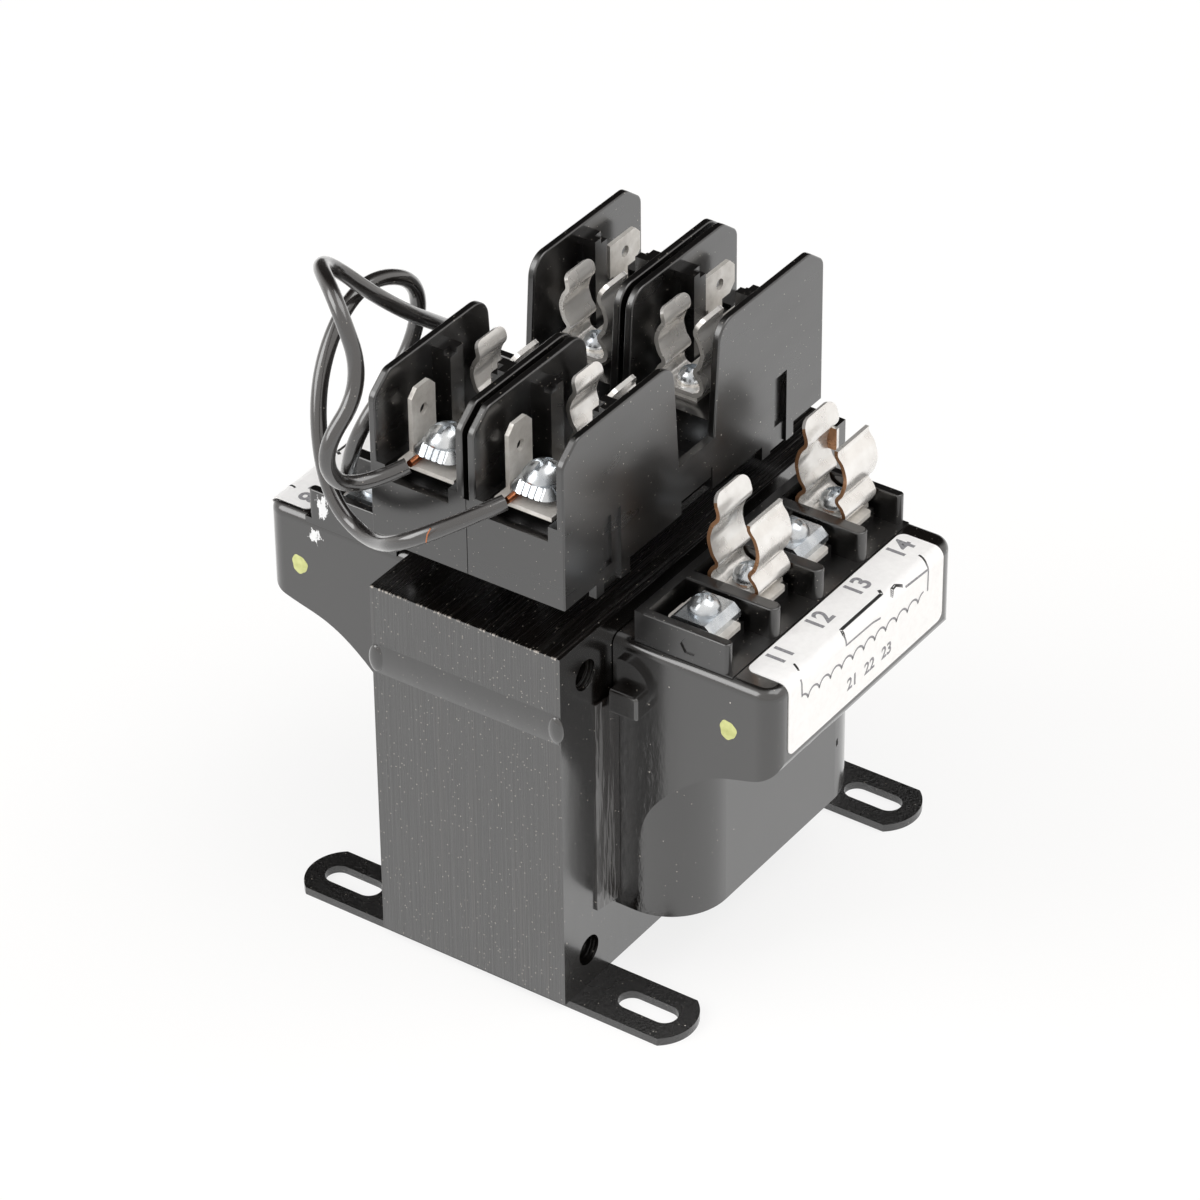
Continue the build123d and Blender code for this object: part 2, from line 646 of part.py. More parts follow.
def wall_outline(foot):
    half = BLOCK_HALF_Y
    side = [
        (INNER_END_TOP_Y, BLOCK_TOP), (half - END_CHAMFER_Y, BLOCK_TOP),
        (half, BLOCK_TOP - END_CHAMFER_Z), (half, BLOCK_BOTTOM),
    ]
    if foot:
        side += [(FOOT_OUT_Y, BLOCK_BOTTOM), (FOOT_OUT_Y, FOOT_BOTTOM), (FOOT_IN_Y, FOOT_BOTTOM),
                 (FOOT_IN_Y, BLOCK_BOTTOM)]
    side += [(ARCH_HALF_Y, BLOCK_BOTTOM), (ARCH_HALF_Y, ARCH_Z)]
    start = [(INNER_END_LOW_Y, MIDDLE_WALL_Z)]
    rear = start + side
    front = [(-y, z) for y, z in reversed(rear)]
    face = polygon([(y + BLOCK_MID_Y, z) for y, z in rear + front])
    mid = BLOCK_MID_Y
    for s in (-1, 1):
        face = round_corners(face, [(mid + s * INNER_END_TOP_Y, BLOCK_TOP)], INNER_END_R)
        face = round_corners(face, [(mid + s * (half - END_CHAMFER_Y), BLOCK_TOP),
                                    (mid + s * half, BLOCK_TOP - END_CHAMFER_Z)], END_CORNER_R)
    return face


def tower_floor():
    mid = BLOCK_MID_Y
    x0, x1 = INNER_WALL_X + MERGE, POLE_OUT_X - MERGE
    end = mid - BLOCK_HALF_Y
    body = block(x0, x1, mid - DECK_OUT_Y, mid - DECK_IN_Y, DECK_Z - FLOOR_T, DECK_Z)
    body += block(x0, x1, mid - DECK_IN_Y - PANEL_T, mid - DECK_IN_Y, CLIP_FLOOR_Z - FLOOR_T, DECK_Z)
    body += block(x0, x1, mid - DECK_IN_Y - PANEL_T, mid - CLIP_FLOOR_IN_Y, CLIP_FLOOR_Z - FLOOR_T,
                  CLIP_FLOOR_Z)
    body += block(x0, x1, mid - CLIP_FLOOR_IN_Y - PANEL_T, mid - CLIP_FLOOR_IN_Y,
                  LOW_FLOOR_Z - LOW_FLOOR_T, CLIP_FLOOR_Z)
    body += block(x0, x1, mid - CLIP_FLOOR_IN_Y - PANEL_T, mid + MERGE, LOW_FLOOR_Z - LOW_FLOOR_T, LOW_FLOOR_Z)
    body += block(x0, x1, end, mid - DECK_OUT_Y + PANEL_T, RECESS_Z - LOW_FLOOR_T, RECESS_Z)
    body += block(x0, x1, mid - DECK_OUT_Y, mid - DECK_OUT_Y + PANEL_T, RECESS_Z - LOW_FLOOR_T, DECK_Z)
    body += block(x0, x1, end, end + PANEL_T, BLOCK_BOTTOM, SILL_Z)
    for a, b in ((x0, SILL_X0), (SILL_X1, x1)):
        body += block(a, b, end, mid - DECK_OUT_Y + MERGE, RECESS_Z, SILL_SIDE_Z)
    return body


def post(wall, width):
    mid = BLOCK_MID_Y
    way = math.copysign(1, width)
    tip, rim = wall + width, wall + width - way * POST_RIM
    inner = mid - POST_IN_Y
    body = block(wall - way * MERGE, tip, mid - POST_OUT_Y, inner, CLIP_FLOOR_Z - MERGE, POST_TOP)
    body -= block(wall, rim, inner - POST_HOLLOW, inner + 1, CLIP_FLOOR_Z, POST_TOP - POST_RIM)
    return body - block(rim, tip + way, mid - POST_OUT_Y - 1, inner - POST_HOLLOW, POST_TOP - POST_STEP,
                        POST_TOP + 1)


def tower_posts():
    return post(INNER_WALL_X + WALL_T, POST_LEFT_W) + post(POLE_OUT_X - WALL_T, -POST_RIGHT_W)


def tower_bosses():
    mid = BLOCK_MID_Y
    depth = FLOOR_T / 2
    bosses = rod(POLE_X, mid - CLIP_Y, CLIP_FLOOR_Z - CLIP_SCREW_REACH - 1, CLIP_FLOOR_Z - depth, BOSS_D)
    return bosses + rod(POLE_X, mid - LINE_Y, DECK_Z - LINE_SCREW_REACH - 1, DECK_Z - depth, BOSS_D)


def pole_web():
    mid = BLOCK_MID_Y
    x0, x1 = POLE_HALF_GAP, INNER_WALL_X + MERGE
    web = block(x0, x1, mid - BLOCK_HALF_Y, mid + BLOCK_HALF_Y, ARCH_Z, MIDDLE_WALL_Z)
    for s in (-1, 1):
        web += block(x0, x1, mid + s * INNER_END_TOP_Y, mid + s * BLOCK_HALF_Y, BLOCK_BOTTOM, DECK_Z)
    return web


def on_rim(edge):
    x, z = edge.center().X, edge.center().Z
    faces = (INNER_WALL_X, INNER_WALL_X + WALL_T, POLE_OUT_X - WALL_T, POLE_OUT_X)
    flat = edge.bounding_box().size.X < 0.01
    return flat and z > SILL_SIDE_Z and min(abs(x - f) for f in faces) < 0.01


def wall(foot, x0, x1):
    slab = along_x(wall_outline(foot), x0, x1)
    return fillet([e for e in slab.edges() if on_rim(e)], RIM_R)


def right_pole_block():
    mid = BLOCK_MID_Y
    pole = wall(True, POLE_OUT_X - WALL_T, POLE_OUT_X) + wall(False, INNER_WALL_X, INNER_WALL_X + WALL_T)
    quarter = tower_floor() + tower_posts() + tower_bosses()
    pole += pole_web() + quarter + mirror_y(quarter, mid)
    pole += rod(MOUNT_X, mid, BLOCK_BOTTOM, LOW_FLOOR_Z - LOW_FLOOR_T / 2, BOSS_D)
    pole -= rod(MOUNT_X, mid, BLOCK_BOTTOM - 1, LOW_FLOOR_Z + 1, MOUNT_SCREW[0])
    for s in (-1, 1):
        pole -= rod(POLE_X, mid + s * CLIP_Y, CLIP_FLOOR_Z - CLIP_SCREW_REACH, CLIP_FLOOR_Z + 1, CLIP_SCREW[0])
        pole -= rod(POLE_X, mid + s * LINE_Y, DECK_Z - LINE_SCREW_REACH, DECK_Z + 1, LINE_SCREW[0])
        pole -= block(POLE_OUT_X - KEYWAY_DEPTH, POLE_OUT_X + 1, mid + s * KEYWAY_IN_Y,
                      mid + s * KEYWAY_OUT_Y, FOOT_BOTTOM - 1, KEYWAY_TOP)
        pole -= block(POLE_OUT_X - KEY_SLOT_DEPTH, POLE_OUT_X + 1, mid + s * KEY_SLOT_IN_Y,
                      mid + s * KEY_SLOT_OUT_Y, KEY_SLOT_BOTTOM, KEY_SLOT_TOP)
    return pole


def plate_body(x, s):
    mid = BLOCK_MID_Y
    deck_top = DECK_Z + PLATE_T
    plate = block(x - PLATE_HALF_X, x + PLATE_HALF_X, mid + s * PLATE_OUT_Y, mid + s * (NECK_OUT_Y - PLATE_T),
                  DECK_Z, deck_top)
    plate += block(x - NECK_HALF_X, x + NECK_HALF_X, mid + s * NECK_OUT_Y, mid + s * (NECK_OUT_Y - PLATE_T),
                   CLIP_FLOOR_Z, deck_top)
    plate += block(x - NECK_HALF_X, x + NECK_HALF_X, mid + s * NECK_OUT_Y, mid + s * NECK_IN_Y,
                   CLIP_FLOOR_Z, CLIP_FLOOR_Z + PLATE_T)
    plate -= rod(x, mid + s * CLIP_Y, CLIP_FLOOR_Z - PLATE_T, CLIP_FLOOR_Z + 2 * PLATE_T, CLIP_SCREW[0])
    return plate - rod(x, mid + s * LINE_Y, DECK_Z - 1, DECK_Z + 2, LINE_SCREW[0])


def line_plate(x):
    mid = BLOCK_MID_Y
    edge = x - PLATE_HALF_X
    y0, y1 = mid - TAB_Y - TAB_WIDTH / 2, mid - TAB_Y + TAB_WIDTH / 2
    c = TAB_CHAMFER
    tab = polygon([(y0, DECK_Z), (y1, DECK_Z), (y1, TAB_TOP - c), (y1 - c, TAB_TOP), (y0 + c, TAB_TOP),
                   (y0, TAB_TOP - c)])
    tab -= Pos(mid - TAB_Y, TAB_HOLE_Z) * Circle(TAB_HOLE_D / 2)
    return plate_body(x, -1) + along_x(tab, edge, edge + TAB_T)


def load_plate(x):
    mid = BLOCK_MID_Y
    edge = x - PLATE_HALF_X
    z0, z1 = LOAD_TAB_Z0, LOAD_TAB_Z0 + TAB_WIDTH
    y0, y1, y2 = mid + LOAD_TAB_IN_Y, mid + LOAD_STEM_OUT_Y, mid + LOAD_TAB_OUT_Y
    c = TAB_CHAMFER
    stem = y0 + LOAD_STEM_INSET
    tab = polygon([(stem, DECK_Z), (y1, DECK_Z), (y1, z0), (y2 - c, z0), (y2, z0 + c), (y2, z1 - c),
                   (y2 - c, z1), (y0, z1), (y0, z0), (stem, z0)])
    tab -= Pos((y0 + y2) / 2, (z0 + z1) / 2) * Circle(TAB_HOLE_D / 2)
    return plate_body(x, 1) + along_x(tab, edge, edge + TAB_T)


def block_bracket():
    z0, z1 = CORE_Z1, BLOCK_BOTTOM
    t, web, wing = BRACKET_T, BRACKET_WEB_X, BRACKET_FLANGE_X
    section = polygon([
        (-web, z0), (web, z0), (web, z1 - t), (wing, z1 - t), (wing, z1), (web - t, z1),
        (web - t, z0 + t), (t - web, z0 + t), (t - web, z1), (-wing, z1), (-wing, z1 - t), (-web, z1 - t),
    ])
    bracket = along_y(section, BRACKET_FRONT_Y, BRACKET_REAR_Y)
    for side in (-1, 1):
        bracket -= rod(side * MOUNT_X, BLOCK_MID_Y, z1 - 2 * t, z1 + t, MOUNT_SCREW[0])
    return bracket


LEAD_A = [
    (-12.3, -40.2, 97.6), (-18.5, -48.2, 94.1), (-19.2, -54.7, 104.5), (-16.9, -44.6, 114.0),
    (-22.1, -44.5, 127.8), (-34.7, -34.1, 127.3), (-27.6, -23.5, 114.0), (-27.5, -7.6, 101.5),
    (-31.1, 4.1, 92.6), (-40.3, 5.3, 85.5), (-39.6, 5.5, 72.6),
]
LEAD_B = [
    (6.9, -40.2, 97.6), (-1.6, -54.7, 94.4), (-16.5, -46.5, 84.5), (-26.1, -44.9, 90.6),
    (-32.1, -38.3, 106.7), (-33.5, -24.5, 117.5), (-31.5, -9.6, 111.6), (-32.3, -11.1, 97.5),
    (-36.4, -26.0, 84.0), (-39.6, -21.0, 73.2),
]


def lead_core(x):
    seat = DECK_Z + PLATE_T
    return along_y(Pos(x, seat + LEAD_CORE_D / 2) * Circle(LEAD_CORE_D / 2), LEAD_CORE_OUT_Y, LEAD_CORE_IN_Y)


def corner_radii(points):
    radii = []
    for a, b, c in zip(points, points[1:], points[2:]):
        u = [q - p for p, q in zip(a, b)]
        v = [q - p for p, q in zip(b, c)]
        lu, lv = math.hypot(*u), math.hypot(*v)
        turn = math.acos(max(-1, min(1, sum(p * q for p, q in zip(u, v)) / lu / lv)))
        radii.append(0.45 * min(lu, lv) / math.tan(turn / 2))
    return radii


def tube(points, diameter):
    radii = corner_radii(points)
    path = FilletPolyline(*points, radius=radii)
    start = Plane(origin=path @ 0, z_dir=path % 0)
    print("radii", [round(r, 1) for r in radii], "length", round(path.length, 1))
    return sweep(start * Circle(diameter / 2), path=path)


def build():
    mid = BLOCK_MID_Y
    save("e_laminations", e_laminations())
    save("i_laminations", i_laminations())
    save("front_weld_bead", front_weld_bead())
    save("rear_weld_bead", mirror_y(front_weld_bead()))
    save("front_foot", front_foot())
    save("rear_foot", mirror_y(front_foot()))
    save("coil_case", coil_case())
    save("coil_bobbin", coil_bobbin())
    save("primary_winding", winding_ring(0, PRIMARY_BUILD))
    save("winding_tape", winding_ring(PRIMARY_BUILD, TAPE_BUILD))
    save("secondary_winding", winding_ring(PRIMARY_BUILD + TAPE_BUILD, SECONDARY_BUILD))
    save("front_slot_liner", front_slot_liner())
    save("rear_slot_liner", mirror_y(front_slot_liner()))
    save("secondary_label", label(0, 0))
    save("primary_label", mirror_x(label(PRIMARY_OUT, PRIMARY_LABEL_FORWARD)))
    save("secondary_terminal_block", secondary_terminal_block())
    save("primary_terminal_block", on_primary_side(secondary_terminal_block()))
    ys = pocket_centres()
    seat = PEDESTAL_TOP + STRIP_PLATE_T
    for i, y in enumerate(ys):
        save("secondary_plate_%d" % (i + 1), strip_plate(y))
        save("primary_plate_%d" % (i + 1), on_primary_side(strip_plate(y)))
    clamped = [clamp(TERMINAL_X, y, seat, STRIP_CLAMP_SIDE, STRIP_SCREW[0]) for y in ys]
    lift = clamp_height(STRIP_CLAMP_SIDE)
    reach = lift + STRIP_PLATE_T + STRIP_THREAD
    tightened = [screw(TERMINAL_X, y, seat + lift, STRIP_SCREW, reach) for y in ys]
    save("secondary_clamps", [clamped[0], clamped[2]])
    save("secondary_terminal_screws", [tightened[0], tightened[2]])
    save("primary_clamps", [on_primary_side(c) for c in clamped])
    save("primary_terminal_screws", [on_primary_side(s) for s in tightened])
    save("secondary_front_clip", strip_clip(ys[1], False))
    save("secondary_rear_clip", strip_clip(ys[3], True))
    base = STRIP_CLIP_T + CLIP_BOSS_RISE
    save("secondary_clip_screws", [screw(TERMINAL_X, ys[i], seat + base, STRIP_SCREW,
                                         base + STRIP_PLATE_T + STRIP_THREAD) for i in (1, 3)])
    save("right_pole_block", right_pole_block())
    save("left_pole_block", mirror_x(right_pole_block()))
    for side, x in (("left", -POLE_X), ("right", POLE_X)):
        save(side + "_front_clip", block_clip(x, mid - CLIP_Y))
        save(side + "_rear_clip", block_clip(x, mid + CLIP_Y))
        save(side + "_line_plate", line_plate(x))
        save(side + "_load_plate", load_plate(x))
    clip_seat = CLIP_FLOOR_Z + PLATE_T + CLIP_T + CLIP_BOSS_RISE
    save("clip_screws", [screw(x, mid + s * CLIP_Y, clip_seat, CLIP_SCREW, CLIP_SCREW_REACH)
                         for x in (-POLE_X, POLE_X) for s in (-1, 1)])
    line_seat = DECK_Z + PLATE_T + LEAD_CORE_D
    save("line_clamps", [ribbed_clamp(x, mid - LINE_Y, line_seat) for x in (-POLE_X, POLE_X)])
    save("line_screws", [screw(x, mid - LINE_Y, line_seat + LINE_CLAMP_H, LINE_SCREW, LINE_SCREW_REACH)
                         for x in (-POLE_X, POLE_X)])
    save("block_bracket", block_bracket())
    save("pole_mounting_screws", [screw(x, mid, LOW_FLOOR_Z, MOUNT_SCREW, LOW_FLOOR_Z - BLOCK_BOTTOM
                                        + BRACKET_T) for x in (-MOUNT_X, MOUNT_X)])
    save("lead_a", tube(LEAD_A, LEAD_D))
    save("lead_b", tube(LEAD_B, LEAD_D))
    save("lead_cores", [lead_core(-POLE_X - LEAD_SIDE), lead_core(POLE_X - LEAD_SIDE)])


build()
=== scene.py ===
import math

import bmesh
import bpy
from mathutils import Matrix, Vector


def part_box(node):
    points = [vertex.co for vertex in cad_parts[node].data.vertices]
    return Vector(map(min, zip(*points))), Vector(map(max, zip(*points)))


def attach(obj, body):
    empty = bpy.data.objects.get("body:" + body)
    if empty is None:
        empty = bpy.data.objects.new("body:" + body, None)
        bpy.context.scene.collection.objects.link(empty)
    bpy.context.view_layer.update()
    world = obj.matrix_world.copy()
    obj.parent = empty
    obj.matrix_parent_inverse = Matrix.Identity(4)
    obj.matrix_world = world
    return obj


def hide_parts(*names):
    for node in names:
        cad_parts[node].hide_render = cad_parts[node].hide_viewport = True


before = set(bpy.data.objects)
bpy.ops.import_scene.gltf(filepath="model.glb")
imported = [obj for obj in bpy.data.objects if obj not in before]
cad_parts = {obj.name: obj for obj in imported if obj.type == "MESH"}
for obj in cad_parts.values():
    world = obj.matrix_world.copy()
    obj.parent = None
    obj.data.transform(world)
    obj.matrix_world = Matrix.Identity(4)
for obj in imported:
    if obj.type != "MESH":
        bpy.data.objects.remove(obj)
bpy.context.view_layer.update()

bl_info = {
    "name": "Control transformer look",
    "version": (1, 0, 0),
    "blender": (4, 5, 0),
    "location": "3D Viewport > Sidebar > Transformer",
    "description": "Materials, leads, labels and studio for the control transformer",
    "category": "Object",
}

MM = 0.001

# Points that steer each lead, in mm, from its line clamp to its primary terminal
LEAD_A = [
    (-12.3, -40.2, 97.6), (-18.5, -48.2, 94.1), (-19.2, -54.7, 104.5), (-16.9, -44.6, 114.0),
    (-22.1, -44.5, 127.8), (-34.7, -34.1, 127.3), (-27.6, -23.5, 114.0), (-27.5, -7.6, 101.5),
    (-31.1, 4.1, 92.6), (-40.3, 5.3, 85.5), (-39.6, 5.5, 72.6),
]
LEAD_B = [
    (6.9, -40.2, 97.6), (-1.6, -54.7, 94.4), (-16.5, -46.5, 84.5), (-26.1, -44.9, 90.6),
    (-32.1, -38.3, 106.7), (-33.5, -24.5, 117.5), (-31.5, -9.6, 111.6), (-32.3, -11.1, 97.5),
    (-36.4, -26.0, 84.0), (-39.6, -21.0, 73.2),
]
# The loose copper strand across the front of lead_b, in mm
STRAND = [(1.2, -52.4, 97.4), (0.5, -52.45, 95.9), (0.1, -52.3, 94.2)]
STRAND_RADIUS = 0.00012

# Faces that the painted glint and the marks lie on, in metres
CORE_FRONT = -0.0427
CORE_TOP = 0.0727
SHELF_FRONT = -0.0280

# Which CAD nodes take which material
STEEL = ["e_laminations", "i_laminations"]
WELDS = ["front_weld_bead", "rear_weld_bead"]
STRIPS = ["front_foot", "rear_foot", "block_bracket"]
MOULDINGS = ["left_pole_block", "right_pole_block", "secondary_terminal_block", "primary_terminal_block"]
LINERS = ["front_slot_liner", "rear_slot_liner"]
WINDINGS = ["primary_winding", "secondary_winding"]
BLOCK_CLIPS = ["left_front_clip", "left_rear_clip", "right_front_clip", "right_rear_clip"]
STRIP_CLIPS = ["secondary_front_clip", "secondary_rear_clip"]
PLATES = ["left_line_plate", "right_line_plate", "left_load_plate", "right_load_plate"]
PLATES += ["%s_plate_%d" % (side, i) for side in ("secondary", "primary") for i in range(1, 5)]
SCREWS = ["secondary_clamps", "secondary_terminal_screws", "primary_clamps", "primary_terminal_screws",
          "secondary_clip_screws", "clip_screws", "line_clamps", "line_screws", "pole_mounting_screws"]
LABELS = ["secondary_label", "primary_label"]

# Sockets of a Mix node that blends colours
FACTOR, FIRST, SECOND = 0, 6, 7


def linear(code):
    """sRGB hex colour as a linear RGBA tuple."""
    parts = [int(code[i:i + 2], 16) / 255 for i in (1, 3, 5)]
    return tuple(c / 12.92 if c <= 0.04045 else ((c + 0.055) / 1.055) ** 2.4 for c in parts) + (1.0,)


class StudioProps(bpy.types.PropertyGroup):
    lens: bpy.props.FloatProperty(
        name="Lens", description="Focal length for a 36 mm sensor", default=160.8, unit="CAMERA")
    floor_size: bpy.props.FloatProperty(
        name="Floor", description="Side of the square floor", default=4.0, unit="LENGTH")
    key_power: bpy.props.FloatProperty(
        name="Key light", description="Power of the large light at the front left", default=7.5, unit="POWER")
    top_power: bpy.props.FloatProperty(
        name="Top light", description="Power of the overhead light", default=5.5, unit="POWER")
    world_strength: bpy.props.FloatProperty(
        name="World", description="Strength of the even light from all sides", default=0.95)
    speck_size: bpy.props.FloatProperty(
        name="Dust speck", description="Width of one dust speck", default=0.00013, unit="LENGTH")
    sheet: bpy.props.FloatProperty(
        name="Sheet", description="Thickness of one lamination", default=0.0005, unit="LENGTH")
    lead_diameter: bpy.props.FloatProperty(
        name="Lead diameter", description="Outside diameter of the insulated leads", default=0.00275,
        unit="LENGTH")
    label_colour: bpy.props.FloatVectorProperty(
        name="Label", description="Colour of the label film", default=linear("#fbfbfb"), size=4,
        subtype="COLOR", min=0.0, max=1.0)
    paint_colour: bpy.props.FloatVectorProperty(
        name="Paint dots", description="Colour of the two dabs of marking paint", default=linear("#d3d793"),
        size=4, subtype="COLOR", min=0.0, max=1.0)


def add(tree, kind, inputs=None, **settings):
    """A shader node with its settings. An input is a value, a socket, or a node whose open output is linked."""
    made = tree.nodes.new("ShaderNode" + kind)
    for key, value in settings.items():
        setattr(made, key, value)
    for key, value in (inputs or {}).items():
        if isinstance(value, bpy.types.Node):
            value = next(socket for socket in value.outputs if socket.enabled)
        if isinstance(value, bpy.types.NodeSocket):
            tree.links.new(value, made.inputs[key])
        else:
            made.inputs[key].default_value = value
    return made


def start_material(name):
    """Empty material with its node tree."""
    mat = bpy.data.materials.new(name)
    mat.use_nodes = True
    mat.node_tree.nodes.clear()
    return mat, mat.node_tree


def finish_material(tree, inputs):
    """Close a material with one surface shader that has these inputs."""
    shader = add(tree, "BsdfPrincipled", inputs)
    add(tree, "OutputMaterial", {"Surface": shader})


def grain(tree, size, detail=2.0, roughness=0.5, stretch=None):
    """Noise with cells of that size, in mm of the real part, and stretched so many times along x, y and z."""
    where = add(tree, "TexCoord").outputs["Object"]
    if stretch:
        where = add(tree, "VectorMath", {0: where, 1: stretch}, operation="DIVIDE")
    return add(tree, "TexNoise",
               {"Vector": where, "Scale": 1 / (size * MM), "Detail": detail, "Roughness": roughness})


def shade(tree, value, low, high, first, second):
    """Colour that turns from first to second while a pattern goes from low to high."""
    share = add(tree, "MapRange", {"Value": value, "From Min": low, "From Max": high})
    return add(tree, "Mix", {FACTOR: share, FIRST: first, SECOND: second}, data_type="RGBA")


def specks(tree, amount, cell):
    """Mask of dust specks of uneven size, in that share of the cells. A cell is so many mm wide."""
    where = add(tree, "TexCoord").outputs["Object"]
    cells = add(tree, "TexVoronoi", {"Vector": where, "Scale": 1 / (cell * MM)})
    dice = add(tree, "SeparateColor", {0: cells.outputs["Color"]})
    widest = bpy.context.scene.transformer_studio.speck_size / (cell * MM)
    reach = add(tree, "Math", {0: dice.outputs[1], 1: widest}, operation="MULTIPLY")
    near = add(tree, "Math", {0: cells.outputs["Distance"], 1: reach}, operation="LESS_THAN")
    drawn = add(tree, "Math", {0: dice.outputs[0], 1: amount}, operation="LESS_THAN")
    return add(tree, "Math", {0: near, 1: drawn}, operation="MULTIPLY")


def dusty(tree, colour, amount):
    """The colour under fine grey and coarser pale dust, larger than real dust so that it shows."""
    for cell, dust in ((0.91, "#8c877f"), (2.0, "#c9c4bc")):
        colour = add(tree, "Mix", {FACTOR: specks(tree, amount, cell), FIRST: colour, SECOND: linear(dust)},
                     data_type="RGBA")
    return colour


def smear(tree, spot, size):
    """Mask of a ragged patch round a spot, with its half widths in size, both in metres."""
    raggedness, limit = 3.2, 2.25
    where = add(tree, "TexCoord").outputs["Object"]
    offset = add(tree, "VectorMath", {0: where, 1: spot}, operation="SUBTRACT")
    scaled = add(tree, "VectorMath", {0: offset, 1: size}, operation="DIVIDE")
    reach = add(tree, "VectorMath", {0: scaled}, operation="LENGTH")
    torn = grain(tree, 0.91, 4.0, 0.7, stretch=(1.0, 1.0, 2.2))
    edge = add(tree, "Math", {0: torn, 1: raggedness, 2: reach}, operation="MULTIPLY_ADD")
    return add(tree, "Math", {0: edge, 1: limit}, operation="LESS_THAN")


def glossy_black(tree, inputs):
    """Finish for black varnish and mouldings: a hard resin skin, IOR 1.6, over a resin body."""
    finish_material(tree, {"IOR": 1.6, "Specular IOR Level": 0.7, "Coat IOR": 1.6, "Coat Weight": 1.0, **inputs})


def varnished_laminations():
    """Punched silicon-steel sheets, welded and dipped in black varnish: fine uneven lines along the sheets,
    with painted glints: light grey dots where the sheet corners along the top front edge catch the light."""
    mat, tree = start_material("varnished_laminations")
    sheet = bpy.context.scene.transformer_studio.sheet
    lines = grain(tree, sheet / MM, 3.0, 0.7, stretch=(1.0, 167.0, 167.0))
    runs = grain(tree, 1.11, 3.0, 0.6, stretch=(1.0, 10.0, 36.0))
    mottle = grain(tree, 6.25, 4.0, 0.6)
    pooled = shade(tree, mottle, 0.35, 0.7, linear("#060504"), linear("#0f0c0a"))
    thin = add(tree, "MapRange", {"Value": lines, "From Min": 0.56, "From Max": 0.74, "To Max": 0.4})
    colour = add(tree, "Mix", {FACTOR: thin, FIRST: pooled, SECOND: linear("#4a443f")}, data_type="RGBA")
    # Painted glint: light grey dots, one on each sheet, along the top front edge of the core, where the sheet
    # corners catch the light
    split = add(tree, "SeparateXYZ", {0: add(tree, "TexCoord").outputs["Object"]})
    rim = 0.00015
    front = add(tree, "MapRange",
                {"Value": split.outputs[1], "From Min": CORE_FRONT + rim, "From Max": CORE_FRONT})
    top = add(tree, "MapRange", {"Value": split.outputs[2], "From Min": CORE_TOP - rim, "From Max": CORE_TOP})
    edge = add(tree, "Math", {0: front, 1: top}, operation="MULTIPLY")
    patchy = add(tree, "MapRange", {"Value": lines, "From Min": 0.5, "From Max": 0.6})
    painted_glint = add(tree, "Math", {0: edge, 1: patchy}, operation="MULTIPLY")
    height = add(tree, "Math", {0: runs, 1: 0.6, 2: lines}, operation="MULTIPLY_ADD")
    # The base colour carries the painted glint along the top front edge
    glossy_black(tree, {
        "Base Color": add(tree, "Mix", {FACTOR: painted_glint, FIRST: dusty(tree, colour, 0.9),
                                        SECOND: linear("#b5aea6")}, data_type="RGBA"),
        "Roughness": add(tree, "MapRange", {"Value": lines, "From Min": 0.3, "From Max": 0.7,
                                            "To Min": 0.18, "To Max": 0.34}),
        "Normal": add(tree, "Bump", {"Height": height, "Distance": 0.00025, "Strength": 0.9}),
        "Coat Roughness": 0.14,
    })
    return mat


def varnished_weld():
    """Arc-weld run under the same black varnish: soft ripples along the run."""
    mat, tree = start_material("varnished_weld")
    ripples = grain(tree, 3.85, stretch=(1.0, 2.17, 2.17))
    glossy_black(tree, {
        "Base Color": dusty(tree, linear("#0a0807"), 0.5), "Roughness": 0.22,
        "Normal": add(tree, "Bump", {"Height": ripples, "Distance": 0.0003, "Strength": 0.6}),
        "Coat Roughness": 0.15,
    })
    return mat


def varnished_strip():
    """Steel strip dipped in black varnish: pooled gloss, fine pits and dust. The pits are coarser than real
    ones, so that they show."""
    mat, tree = start_material("varnished_strip")
    pits = grain(tree, 0.4545, 3.0, 0.7)
    pools = grain(tree, 5.56)
    glossy_black(tree, {
        "Base Color": dusty(tree, linear("#080707"), 0.95),
        "Roughness": add(tree, "MapRange", {"Value": pools, "From Min": 0.3, "From Max": 0.7,
                                            "To Min": 0.16, "To Max": 0.34}),
        "Normal": add(tree, "Bump", {"Height": pits, "Distance": 0.0003, "Strength": 1.0}),
        "Coat Weight": 0.5, "Coat Roughness": 0.12,
    })
    return mat


